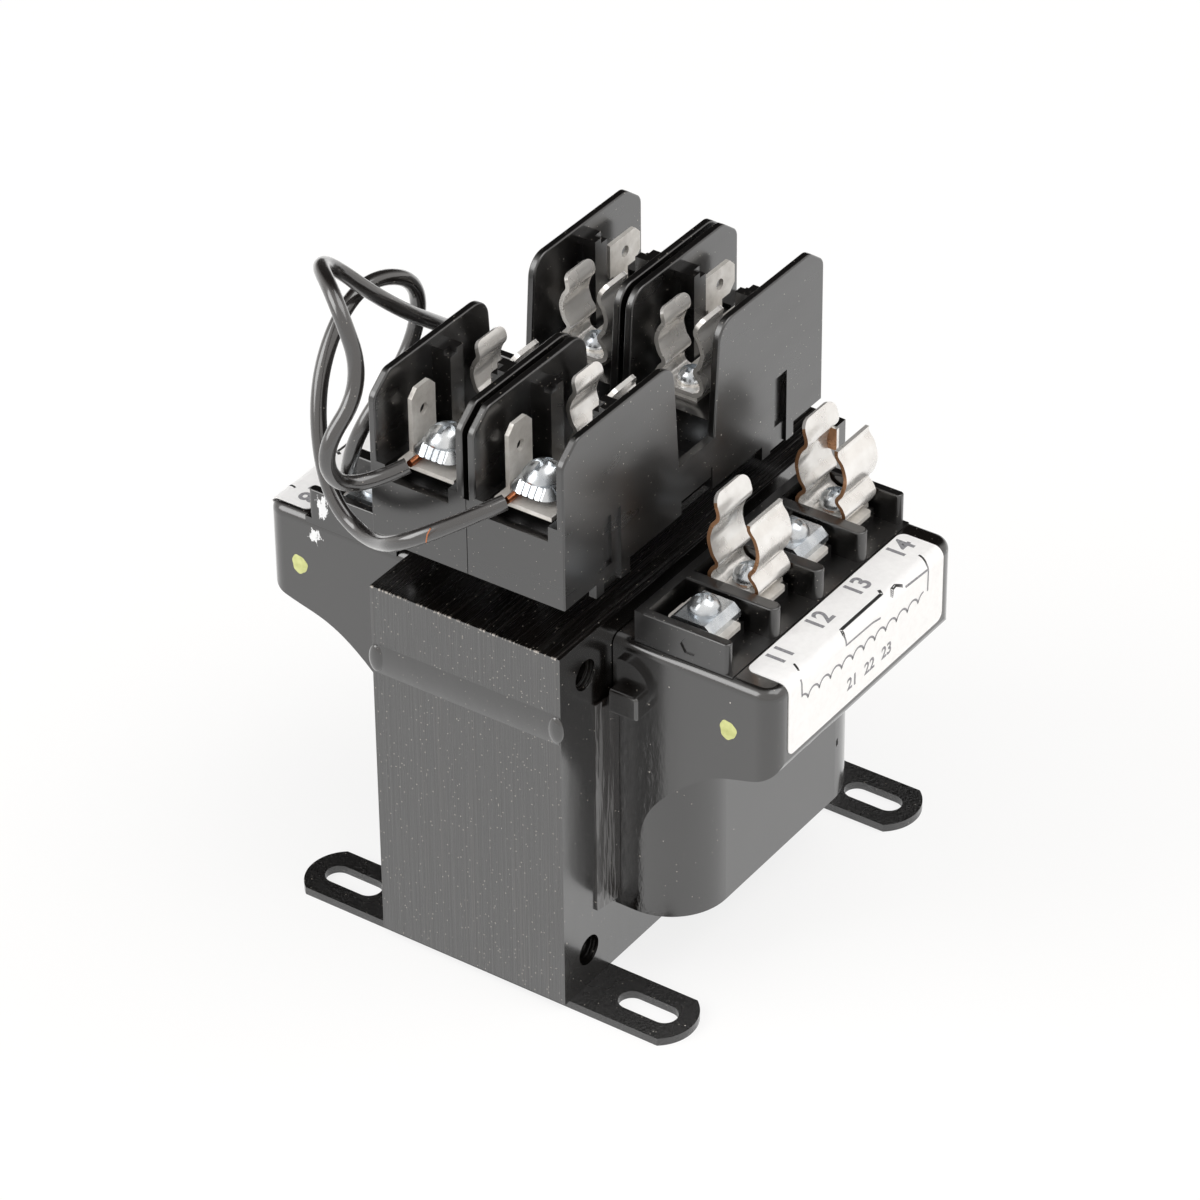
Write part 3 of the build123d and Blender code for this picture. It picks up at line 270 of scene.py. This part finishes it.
def varnished_case():
    """Moulded black case, dipped with the coil: orange peel, wet runs of varnish close to the core, a dried
    white smear on the left shelf and a dull nick low on the right."""
    mat, tree = start_material("varnished_case")
    split = add(tree, "SeparateXYZ", {0: add(tree, "TexCoord").outputs["Object"]})
    away = add(tree, "Math", {0: split.outputs[0]}, operation="ABSOLUTE")
    beside = add(tree, "MapRange", {"Value": away, "From Min": 0.031, "From Max": 0.024})
    below = add(tree, "MapRange", {"Value": split.outputs[2], "From Min": 0.060, "From Max": 0.050})
    wet = add(tree, "Math", {0: beside, 1: below}, operation="MULTIPLY")
    peel = grain(tree, 1.11, 3.0, 0.6, stretch=(1.0, 1.0, 2.14))
    waves = grain(tree, 14.29)
    depth = add(tree, "Math", {0: wet, 1: 0.05}, operation="ADD")
    wavy = add(tree, "Math", {0: waves, 1: 0.35}, operation="MULTIPLY")
    height = add(tree, "Math", {0: peel, 1: depth, 2: wavy}, operation="MULTIPLY_ADD")
    plain = shade(tree, waves, 0.3, 0.7, linear("#0b0908"), linear("#13100e"))
    dried = smear(tree, (-0.0421, SHELF_FRONT, 0.0657), (0.0019, 0.001, 0.0019))
    nick = smear(tree, (0.0343, 0.0176, 0.0257), (0.0004, 0.0005, 0.0011))
    sheen = add(tree, "MapRange", {"Value": wet, "To Min": 0.24, "To Max": 0.12})
    glossy_black(tree, {
        "Base Color": add(tree, "Mix", {FACTOR: dried, FIRST: dusty(tree, plain, 0.4),
                                        SECOND: linear("#eceef0")}, data_type="RGBA"),
        "Roughness": add(tree, "MapRange", {"Value": nick, "To Min": sheen, "To Max": 1.0}),
        "Normal": add(tree, "Bump", {"Height": height, "Distance": 0.0002, "Strength": 0.8}),
        "Coat Weight": add(tree, "MapRange", {"Value": nick, "To Min": 0.8, "To Max": 0.0}),
        "Coat Roughness": 0.12,
    })
    return mat


def black_moulding():
    """Compression-moulded black thermoset: even satin gloss, slight flow lines, dust on the flats, and a dried
    white smear on the left strip. The grain is coarser than real filler, so that it shows."""
    mat, tree = start_material("black_moulding")
    filler = grain(tree, 0.3846)
    flow = grain(tree, 4.545, 3.0, stretch=(3.67, 3.67, 1.0))
    plain = shade(tree, flow, 0.3, 0.7, linear("#050404"), linear("#0b0908"))
    dried = smear(tree, (-0.0400, SHELF_FRONT, 0.0722), (0.0016, 0.001, 0.0036))
    glossy_black(tree, {
        "Base Color": add(tree, "Mix", {FACTOR: dried, FIRST: dusty(tree, plain, 0.85),
                                        SECOND: linear("#eceef0")}, data_type="RGBA"),
        "Roughness": add(tree, "MapRange", {"Value": flow, "From Min": 0.3, "From Max": 0.7,
                                            "To Min": 0.26, "To Max": 0.36}),
        "Normal": add(tree, "Bump", {"Height": filler, "Distance": 0.00002, "Strength": 0.5}),
        "Coat Weight": 0.7, "Coat Roughness": 0.2,
    })
    return mat


def tinned_spring(name, edge):
    """Spring bronze strip with bright tin plating: soft silver with faint rolling lines. The edges were punched
    after plating and have the colour edge."""
    mat, tree = start_material(name)
    rolling = grain(tree, 1.11, 3.0, stretch=(1.0, 15.0, 1.0))
    cloud = grain(tree, 3.125, 3.0)
    facing = add(tree, "SeparateXYZ", {0: add(tree, "TexCoord").outputs["Normal"]})
    side = add(tree, "Math", {0: facing.outputs[1]}, operation="ABSOLUTE")
    punched = add(tree, "Math", {0: side, 1: 0.9}, operation="GREATER_THAN")
    face = shade(tree, cloud, 0.35, 0.7, linear("#f7f5f2"), linear("#e6e3df"))
    finish_material(tree, {
        "Base Color": add(tree, "Mix", {FACTOR: punched, FIRST: face, SECOND: linear(edge)},
                          data_type="RGBA"),
        "Metallic": 0.65,
        "Roughness": add(tree, "MapRange", {"Value": cloud, "From Min": 0.3, "From Max": 0.7,
                                            "To Min": 0.16, "To Max": 0.32}),
        "Normal": add(tree, "Bump", {"Height": rolling, "Distance": 0.00002, "Strength": 0.5}),
    })
    return mat


def tinned_brass():
    """Brass sheet with a thin dull tin plating, stamped flat: cloudy pale grey."""
    mat, tree = start_material("tinned_brass")
    cloud = grain(tree, 2.38, 4.0, 0.6)
    finish_material(tree, {
        "Base Color": shade(tree, cloud, 0.3, 0.7, linear("#eae7e2"), linear("#d2cec8")), "Metallic": 0.45,
        "Roughness": add(tree, "MapRange", {"Value": cloud, "From Min": 0.3, "From Max": 0.7,
                                            "To Min": 0.3, "To Max": 0.46}),
        "Normal": add(tree, "Bump", {"Height": grain(tree, 0.5556), "Distance": 0.00003, "Strength": 0.5}),
    })
    return mat


def zinc_plated():
    """Cold-headed steel screws and clamps, zinc plated: bright blue-white with dents from the driver."""
    mat, tree = start_material("zinc_plated")
    dents = grain(tree, 2.38)
    cloud = grain(tree, 4.167)
    finish_material(tree, {
        "Base Color": shade(tree, cloud, 0.35, 0.65, linear("#e1e4e6"), linear("#bbc0c5")), "Metallic": 0.95,
        "Roughness": add(tree, "MapRange", {"Value": dents, "From Min": 0.3, "From Max": 0.7,
                                            "To Min": 0.2, "To Max": 0.34}),
        "Normal": add(tree, "Bump", {"Height": dents, "Distance": 0.00012, "Strength": 0.6}),
    })
    return mat


def insulation():
    """Extruded black PVC wire insulation: soft gloss with duller patches."""
    mat, tree = start_material("insulation")
    dull = grain(tree, 3.33, 3.0)
    glossy_black(tree, {
        "Base Color": dusty(tree, linear("#1c1918"), 0.8),
        "Sheen Weight": 0.3, "Sheen Roughness": 0.3,
        "Roughness": add(tree, "MapRange", {"Value": dull, "From Min": 0.3, "From Max": 0.7,
                                            "To Min": 0.16, "To Max": 0.28}),
        "Normal": add(tree, "Bump", {"Height": dull, "Distance": 0.00005, "Strength": 0.4}),
        "Coat Roughness": 0.12,
    })
    return mat


def varnished_liner():
    """Insulating paper channel, soaked in varnish: smooth upright runs, slightly brown."""
    mat, tree = start_material("varnished_liner")
    runs = grain(tree, 3.33, 3.0, stretch=(1.0, 1.0, 7.5))
    glossy_black(tree, {
        "Base Color": dusty(tree, linear("#1d1917"), 0.3), "Roughness": 0.2,
        "Normal": add(tree, "Bump", {"Height": runs, "Distance": 0.0012, "Strength": 1.0}),
        "Coat Roughness": 0.12,
    })
    return mat


def printed_film(colour):
    """Matte film label: nearly even white with faint fibres, drawn coarser than real ones so that they show."""
    mat, tree = start_material("printed_film")
    fibre = grain(tree, 1.11, 4.0, 0.6)
    tone = add(tree, "MapRange", {"Value": fibre, "From Min": 0.3, "From Max": 0.7, "To Max": 0.12})
    finish_material(tree, {
        "Base Color": add(tree, "Mix", {FACTOR: tone, FIRST: colour, SECOND: linear("#b8b8b8")},
                          data_type="RGBA"),
        "Roughness": 0.55,
        "Normal": add(tree, "Bump", {"Height": fibre, "Distance": 0.00002, "Strength": 0.4}),
    })
    return mat


def ink():
    """Black printing ink on the film: dense black on top, lighter grey on the upright face below the fold."""
    mat, tree = start_material("ink")
    height = add(tree, "SeparateXYZ", {0: add(tree, "TexCoord").outputs["Object"]}).outputs[2]
    patches = grain(tree, 0.4)
    # The ink is black on the top and lighter grey on the upright face below the fold
    top_black_ink = shade(tree, patches, 0.3, 0.7, linear("#141414"), linear("#2a2a2a"))
    upright_grey_ink = shade(tree, patches, 0.3, 0.7, linear("#77777b"), linear("#a0a0a4"))
    finish_material(tree, {"Base Color": shade(tree, height, 0.0682, 0.0688, upright_grey_ink, top_black_ink), "Roughness": 0.6})
    return mat


def paint_dot(colour):
    """Dab of marking paint, put on by hand: yellow-green, thinner and darker in places."""
    mat, tree = start_material("paint_dot")
    cloud = grain(tree, 1.11, 3.0)
    thin = add(tree, "MapRange", {"Value": cloud, "From Min": 0.3, "From Max": 0.7, "To Max": 0.5})
    finish_material(tree, {
        "Base Color": add(tree, "Mix", {FACTOR: thin, FIRST: colour, SECOND: linear("#a4ab60")},
                          data_type="RGBA"),
        "Roughness": 0.45,
        "Normal": add(tree, "Bump", {"Height": cloud, "Distance": 0.00006, "Strength": 0.6}),
    })
    return mat


def enamelled_copper():
    """Enamelled copper wire, wound in even layers: red-brown gloss with one ridge for each 0.8 mm turn."""
    mat, tree = start_material("enamelled_copper")
    split = add(tree, "SeparateXYZ", {0: add(tree, "TexCoord").outputs["Object"]})
    turn = add(tree, "Math", {0: split.outputs[2], 1: math.tau / (0.8 * MM)}, operation="MULTIPLY")
    ridges = add(tree, "Math", {0: turn}, operation="SINE")
    finish_material(tree, {
        "Base Color": shade(tree, grain(tree, 5.0, 3.0), 0.0, 1.0, linear("#a8511f"), linear("#7d3513")),
        "Metallic": 0.6, "Roughness": 0.3,
        "Normal": add(tree, "Bump", {"Height": ridges, "Distance": 0.0002, "Strength": 1.0}),
    })
    return mat


def polyester_tape():
    """Polyester tape, wound between the two windings: glossy yellow with slight folds."""
    mat, tree = start_material("polyester_tape")
    fold = grain(tree, 3.85, 3.0)
    finish_material(tree, {
        "Base Color": shade(tree, fold, 0.0, 1.0, linear("#d0bd52"), linear("#b9a33c")), "Roughness": 0.3,
        "Normal": add(tree, "Bump", {"Height": fold, "Distance": 0.0001, "Strength": 1.0}),
    })
    return mat


def moulded_nylon():
    """Natural glass-filled nylon, injection moulded: cream, clouded by the fibres."""
    mat, tree = start_material("moulded_nylon")
    fibre = grain(tree, 1.43, 4.0, 0.6)
    finish_material(tree, {
        "Base Color": shade(tree, fibre, 0.0, 1.0, linear("#dcd4bd"), linear("#cbc2a6")), "Roughness": 0.45,
        "Normal": add(tree, "Bump", {"Height": fibre, "Distance": 0.00004, "Strength": 1.0}),
    })
    return mat


def bare_copper():
    """Drawn copper strand, bare: orange-pink metal, darker where it has tarnished."""
    mat, tree = start_material("bare_copper")
    finish_material(tree, {
        "Base Color": shade(tree, grain(tree, 0.5), 0.0, 1.0, linear("#d98f66"), linear("#b86a42")),
        "Metallic": 1.0, "Roughness": 0.3,
    })
    return mat


def plain_floor():
    """White studio floor: a matte sheet that takes the shadow, shown as white to the camera and in gloss."""
    mat, tree = start_material("plain_floor")
    whiteness = 0.8
    sheet = add(tree, "BsdfPrincipled",
                {"Base Color": linear("#fffefc"), "Roughness": 0.9, "Specular IOR Level": 0.1})
    white = add(tree, "Emission", {"Color": linear("#ffffff"), "Strength": 1.0})
    path = add(tree, "LightPath").outputs
    mirrored = add(tree, "Math", {0: path["Is Glossy Ray"], 1: path["Is Transmission Ray"]},
                   operation="MAXIMUM")
    seen = add(tree, "Math", {0: path["Is Camera Ray"], 1: mirrored}, operation="MAXIMUM")
    share = add(tree, "Math", {0: seen, 1: whiteness}, operation="MULTIPLY")
    add(tree, "OutputMaterial", {"Surface": add(tree, "MixShader", {0: share, 1: sheet, 2: white})})
    return mat


def paint(names, mat):
    """Give these CAD pieces one material."""
    for name in names:
        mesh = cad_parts[name].data
        mesh.materials.clear()
        mesh.materials.append(mat)


def add_piece(name, data, matrix=None):
    """Object with this mesh, curve or text, on the part's one body."""
    obj = bpy.data.objects.new(name, data)
    if matrix is not None:
        obj.matrix_world = matrix
    bpy.context.scene.collection.objects.link(obj)
    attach(obj, "root")
    return obj


def mesh_piece(name, made, mat):
    """Piece from a finished bmesh."""
    mesh = bpy.data.meshes.new(name)
    made.to_mesh(mesh)
    made.free()
    mesh.materials.append(mat)
    return add_piece(name, mesh)


def wire_piece(name, points, radius, mat, kind):
    """Round wire through or along points in mm, as a curve of that kind."""
    curve = bpy.data.curves.new(name, "CURVE")
    curve.dimensions = "3D"
    curve.bevel_depth = radius
    if kind == "NURBS":
        curve.bevel_resolution = 6
        curve.resolution_u = 16
        curve.use_fill_caps = True
    spline = curve.splines.new(kind)
    spline.points.add(len(points) - 1)
    for knot, spot in zip(spline.points, points):
        knot.co = (*[v * MM for v in spot], 1.0)
    if kind == "NURBS":
        spline.order_u = 3
        spline.use_endpoint_u = True
    curve.materials.append(mat)
    return add_piece(name, curve)


def curve_length(obj):
    """Length of a curve's middle line in metres."""
    bare = obj.copy()
    bare.data = obj.data.copy()
    bare.data.bevel_depth = 0.0
    line = bpy.data.meshes.new_from_object(bare)
    total = sum((line.vertices[e.vertices[0]].co - line.vertices[e.vertices[1]].co).length for e in line.edges)
    bpy.data.objects.remove(bare)
    bpy.data.meshes.remove(line)
    return total


def label_side(label):
    """1 for the label on the +X side, -1 for the other."""
    return 1 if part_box(label)[1][0] > 0 else -1


def folded(label, run, y):
    """Point just proud of a label, run metres from the edge of its flap round the fold, as read from outside."""
    low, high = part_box(label)
    side = label_side(label)
    inner, outer = sorted((abs(low[0]), abs(high[0])))
    middle = (low[1] + high[1]) / 2
    fold = 0.00195
    lift = 0.00002
    flat = outer - fold - inner
    if run < flat:
        return Vector((side * (inner + run), middle + side * y, high[2] + lift))
    turn = min((run - flat) / fold, math.pi / 2)
    below = max(0.0, run - flat - fold * math.pi / 2)
    return Vector((side * (outer - fold + (fold + lift) * math.sin(turn)), middle + side * y,
                   high[2] - fold + (fold + lift) * math.cos(turn) - below))


def stroke(made, label, points, width):
    """Printed line of that width through (run, y) points on the label."""
    step = 0.0005
    fine = [points[0]]
    for (r0, y0), (r1, y1) in zip(points, points[1:]):
        steps = max(1, math.ceil(math.hypot(r1 - r0, y1 - y0) / step))
        fine += [(r0 + (r1 - r0) * k / steps, y0 + (y1 - y0) * k / steps) for k in range(1, steps + 1)]
    rows = []
    for i, (run, y) in enumerate(fine):
        before, after = fine[max(i - 1, 0)], fine[min(i + 1, len(fine) - 1)]
        way = Vector((after[0] - before[0], after[1] - before[1])).normalized() * width / 2
        rows.append([made.verts.new(folded(label, run - s * way.y, y + s * way.x)) for s in (-1, 1)])
    for a, b in zip(rows, rows[1:]):
        made.faces.new((a[0], a[1], b[1], b[0]))


class TRANSFORMER_OT_stage(bpy.types.Operator):
    """Put in the floor, the camera and the lights"""
    bl_idname = "transformer.stage"
    bl_label = "Stage"

    camera_spot = Vector((0.4270, -0.6138, 0.5754))
    camera_aim = Vector((-0.02382, 0.02992, 0.02588))
    camera_roll = math.radians(-0.661)
    lamp_aim = Vector((0.0, 0.0, 0.06))
    # A dark board behind and above the part keeps the top of the core black
    board_way = (-0.49, 0.67, 0.56)

    def execute(self, context):
        props = context.scene.transformer_studio
        half = props.floor_size / 2
        mesh = bpy.data.meshes.new("floor")
        mesh.from_pydata([(-half, -half, 0), (half, -half, 0), (half, half, 0), (-half, half, 0)], [],
                         [(0, 1, 2, 3)])
        mesh.materials.append(plain_floor())
        floor = bpy.data.objects.new("floor", mesh)
        context.scene.collection.objects.link(floor)
        self.camera(context, props)
        self.light(context, "key_light", (-0.75, -0.85, 0.85), 0.9, props.key_power)
        self.light(context, "top_light", (0.5, 0.3, 1.2), 1.0, props.top_power)
        self.world(context, props)
        return {"FINISHED"}

    def camera(self, context, props):
        """Camera that looks from camera_spot to camera_aim, rolled a little as in the photograph"""
        back = (self.camera_spot - self.camera_aim).normalized()
        right = Vector((0, 0, 1)).cross(back).normalized()
        up = back.cross(right)
        across = right * math.cos(self.camera_roll) + up * math.sin(self.camera_roll)
        upward = up * math.cos(self.camera_roll) - right * math.sin(self.camera_roll)
        data = bpy.data.cameras.new("camera")
        data.lens = props.lens
        data.sensor_width = 36.0
        camera = bpy.data.objects.new("camera", data)
        turned = Matrix((across, upward, back)).transposed().to_4x4()
        camera.matrix_world = Matrix.Translation(self.camera_spot) @ turned
        context.scene.collection.objects.link(camera)
        context.scene.camera = camera

    def light(self, context, name, spot, size, power):
        """Square lamp of that size that faces the part"""
        data = bpy.data.lights.new(name, "AREA")
        data.size = size
        data.energy = power
        lamp = bpy.data.objects.new(name, data)
        lamp.location = spot
        lamp.rotation_euler = (Vector(spot) - self.lamp_aim).to_track_quat("Z", "Y").to_euler()
        context.scene.collection.objects.link(lamp)

    def world(self, context, props):
        """Even light from all sides but the dark board"""
        world = bpy.data.worlds.new("studio")
        world.use_nodes = True
        tree = world.node_tree
        tree.nodes.clear()
        way = add(tree, "TexCoord").outputs["Generated"]
        toward = add(tree, "VectorMath", {0: way, 1: self.board_way}, operation="DOT_PRODUCT")
        colour = shade(tree, toward, 0.55, 0.85, linear("#fffcf9"), linear("#1c1b1b"))
        back = add(tree, "Background", {"Color": colour, "Strength": props.world_strength})
        add(tree, "OutputWorld", {"Surface": back})
        context.scene.world = world
        context.scene.view_settings.view_transform = "Standard"


class TRANSFORMER_OT_leads(bpy.types.Operator):
    """Draw the two leads as smooth curves, and the loose strand on one of them"""
    bl_idname = "transformer.leads"
    bl_label = "Leads"

    def execute(self, context):
        mat = insulation()
        diameter = context.scene.transformer_studio.lead_diameter
        for name, points in (("lead_a", LEAD_A), ("lead_b", LEAD_B)):
            obj = wire_piece(name + "_wire", points, diameter / 2, mat, "NURBS")
            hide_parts(name)
            curve_length(obj)
        wire_piece("stray_strand", STRAND, STRAND_RADIUS, bare_copper(), "POLY")
        return {"FINISHED"}


class TRANSFORMER_OT_core(bpy.types.Operator):
    """Paint the laminations, welds, foot straps, bracket and slot liners"""
    bl_idname = "transformer.core"
    bl_label = "Core"

    def execute(self, context):
        paint(STEEL, varnished_laminations())
        paint(WELDS, varnished_weld())
        paint(STRIPS, varnished_strip())
        paint(LINERS, varnished_liner())
        return {"FINISHED"}


class TRANSFORMER_OT_coil(bpy.types.Operator):
    """Paint the coil case, the bobbin and the windings"""
    bl_idname = "transformer.coil"
    bl_label = "Coil"

    def execute(self, context):
        paint(["coil_case"], varnished_case())
        paint(["coil_bobbin"], moulded_nylon())
        paint(WINDINGS, enamelled_copper())
        paint(["winding_tape"], polyester_tape())
        return {"FINISHED"}


class TRANSFORMER_OT_mouldings(bpy.types.Operator):
    """Paint the fuse block and the barrier strips"""
    bl_idname = "transformer.mouldings"
    bl_label = "Mouldings"

    def execute(self, context):
        paint(MOULDINGS, black_moulding())
        return {"FINISHED"}


class TRANSFORMER_OT_metal(bpy.types.Operator):
    """Paint the clips, plates, clamps, screws and bare wire ends"""
    bl_idname = "transformer.metal"
    bl_label = "Metal parts"

    def execute(self, context):
        paint(BLOCK_CLIPS, tinned_spring("tinned_spring", "#c9c6c1"))
        paint(STRIP_CLIPS, tinned_spring("tinned_spring_bare_edge", "#b98a66"))
        paint(PLATES, tinned_brass())
        paint(SCREWS, zinc_plated())
        paint(["lead_cores"], bare_copper())
        return {"FINISHED"}


class TRANSFORMER_OT_label(bpy.types.Operator):
    """Paint the two labels and print plain lines and numbers on them"""
    bl_idname = "transformer.label"
    bl_label = "Labels"

    # Places on the label: run from the edge of the flap and y along it, in metres
    terminal_run = 0.0041
    terminal_y = (-0.0172, -0.0055, 0.0062, 0.0195)
    terminal_size = 0.0050
    tap_run = 0.0192
    tap_y = (-0.0045, 0.0008, 0.0061)
    tap_size = 0.0032
    thin = 0.0004
    bold = 0.0006

    def execute(self, context):
        paint(LABELS, printed_film(context.scene.transformer_studio.label_colour))
        mat = ink()
        for label, first in zip(LABELS, (11, 15)):
            made = bmesh.new()
            self.lines(made, label)
            mesh_piece(label + "_lines", made, mat)
            for i, y in enumerate(self.terminal_y):
                self.number(label, str(first + i), self.terminal_size, (self.terminal_run, y), (0, 0, 1), mat)
            for i, y in enumerate(self.tap_y):
                self.number(label, str(first + 10 + i), self.tap_size, (self.tap_run, y), (1, 0, 0), mat)
        return {"FINISHED"}

    def lines(self, made, label):
        """Generic line drawing: a wavy line below, short leads, and a broken line above it"""
        waves, per_wave = 11, 12
        points = waves * per_wave
        wave = []
        for i in range(points + 1):
            turn = math.tau * i / per_wave
            wave.append((0.0125 + 0.0011 * i / points - 0.0007 * math.cos(turn),
                         -0.0197 + 0.0372 * i / points + 0.0005 * math.sin(turn)))
        stroke(made, label, wave, self.thin)
        stroke(made, label, [(0.0057, -0.0181), (0.0073, -0.0191)], self.thin)
        stroke(made, label, [(0.0086, -0.0200), (0.0121, -0.0198)], self.thin)
        stroke(made, label, [(0.0061, 0.0196), (0.0083, 0.0189), (0.0135, 0.0188)], self.thin)
        stroke(made, label, [(0.0060, 0.0072), (0.0069, 0.0066), (0.0069, -0.0058), (0.0080, -0.0064)],
               self.bold)
        stroke(made, label, [(0.0080, -0.0064), (0.0097, -0.0066), (0.0099, 0.0015), (0.0104, 0.0040)],
               self.thin)
        stroke(made, label, [(0.0085, 0.0078), (0.0075, 0.0090), (0.0074, 0.0101), (0.0083, 0.0114)],
               self.bold)
        stroke(made, label, [(0.0088, 0.0119), (0.0092, 0.0189)], self.thin)

    def number(self, label, text, size, spot, out, mat):
        """Printed number at (run, y) on a label, on the face that looks along out on the +X side"""
        side = label_side(label)
        along = Vector((0, side, 0))
        out = Vector((side * out[0], 0, out[2]))
        data = bpy.data.curves.new("number_" + text, "FONT")
        data.body = text
        data.size = size
        data.align_x = "CENTER"
        data.offset = size / 40
        data.materials.append(mat)
        turned = Matrix((along, out.cross(along), out)).transposed().to_4x4()
        add_piece("number_" + text, data, Matrix.Translation(folded(label, *spot)) @ turned)


class TRANSFORMER_OT_marks(bpy.types.Operator):
    """Dab on the two paint dots"""
    bl_idname = "transformer.marks"
    bl_label = "Paint dots"

    corners = 32
    # Share of the radius and how proud the paint stands there, in metres
    rings = ((1.0, 0.00001), (0.85, 0.00008), (0.5, 0.00011))

    def execute(self, context):
        mat = paint_dot(context.scene.transformer_studio.paint_colour)
        for name, x, z in (("right_paint_dot", 0.0418, 0.0593), ("left_paint_dot", -0.0455, 0.0585)):
            mesh_piece(name, self.dab(x, z), mat)
        return {"FINISHED"}

    def dab(self, x, z):
        """Uneven round of paint on the shelf's front, thicker in the middle"""
        made = bmesh.new()
        loops = []
        for share, proud in self.rings:
            ring = []
            for i in range(self.corners):
                turn = math.tau * i / self.corners
                radius = share * (0.00175 + 0.00012 * math.sin(3 * turn + 1) + 0.00006 * math.sin(7 * turn))
                ring.append(made.verts.new((x + 0.92 * radius * math.cos(turn), SHELF_FRONT - proud,
                                            z + 1.06 * radius * math.sin(turn))))
            loops.append(ring)
        for outer, inner in zip(loops, loops[1:]):
            for i in range(self.corners):
                after = (i + 1) % self.corners
                made.faces.new((outer[i], outer[after], inner[after], inner[i]))
        made.faces.new(loops[-1])
        for f in made.faces:
            f.smooth = True
        return made


class TRANSFORMER_PT_panel(bpy.types.Panel):
    """Sizes, colours, and a button for each group of pieces and the stage"""
    bl_idname = "TRANSFORMER_PT_panel"
    bl_label = "Transformer"
    bl_space_type = "VIEW_3D"
    bl_region_type = "UI"
    bl_category = "Transformer"

    def draw(self, context):
        props = context.scene.transformer_studio
        for key in StudioProps.__annotations__:
            self.layout.prop(props, key)
        for operator in OPERATORS:
            self.layout.operator(operator.bl_idname)


OPERATORS = [
    TRANSFORMER_OT_stage, TRANSFORMER_OT_leads, TRANSFORMER_OT_core, TRANSFORMER_OT_coil,
    TRANSFORMER_OT_mouldings, TRANSFORMER_OT_metal, TRANSFORMER_OT_label, TRANSFORMER_OT_marks,
]
CLASSES = [StudioProps, *OPERATORS, TRANSFORMER_PT_panel]


def register():
    for cls in CLASSES:
        bpy.utils.register_class(cls)
    bpy.types.Scene.transformer_studio = bpy.props.PointerProperty(type=StudioProps)


def unregister():
    del bpy.types.Scene.transformer_studio
    for cls in reversed(CLASSES):
        bpy.utils.unregister_class(cls)


def main():
    register()
    for operator in OPERATORS:
        group, name = operator.bl_idname.split(".")
        getattr(getattr(bpy.ops, group), name)()


if __name__ == "__main__":
    main()
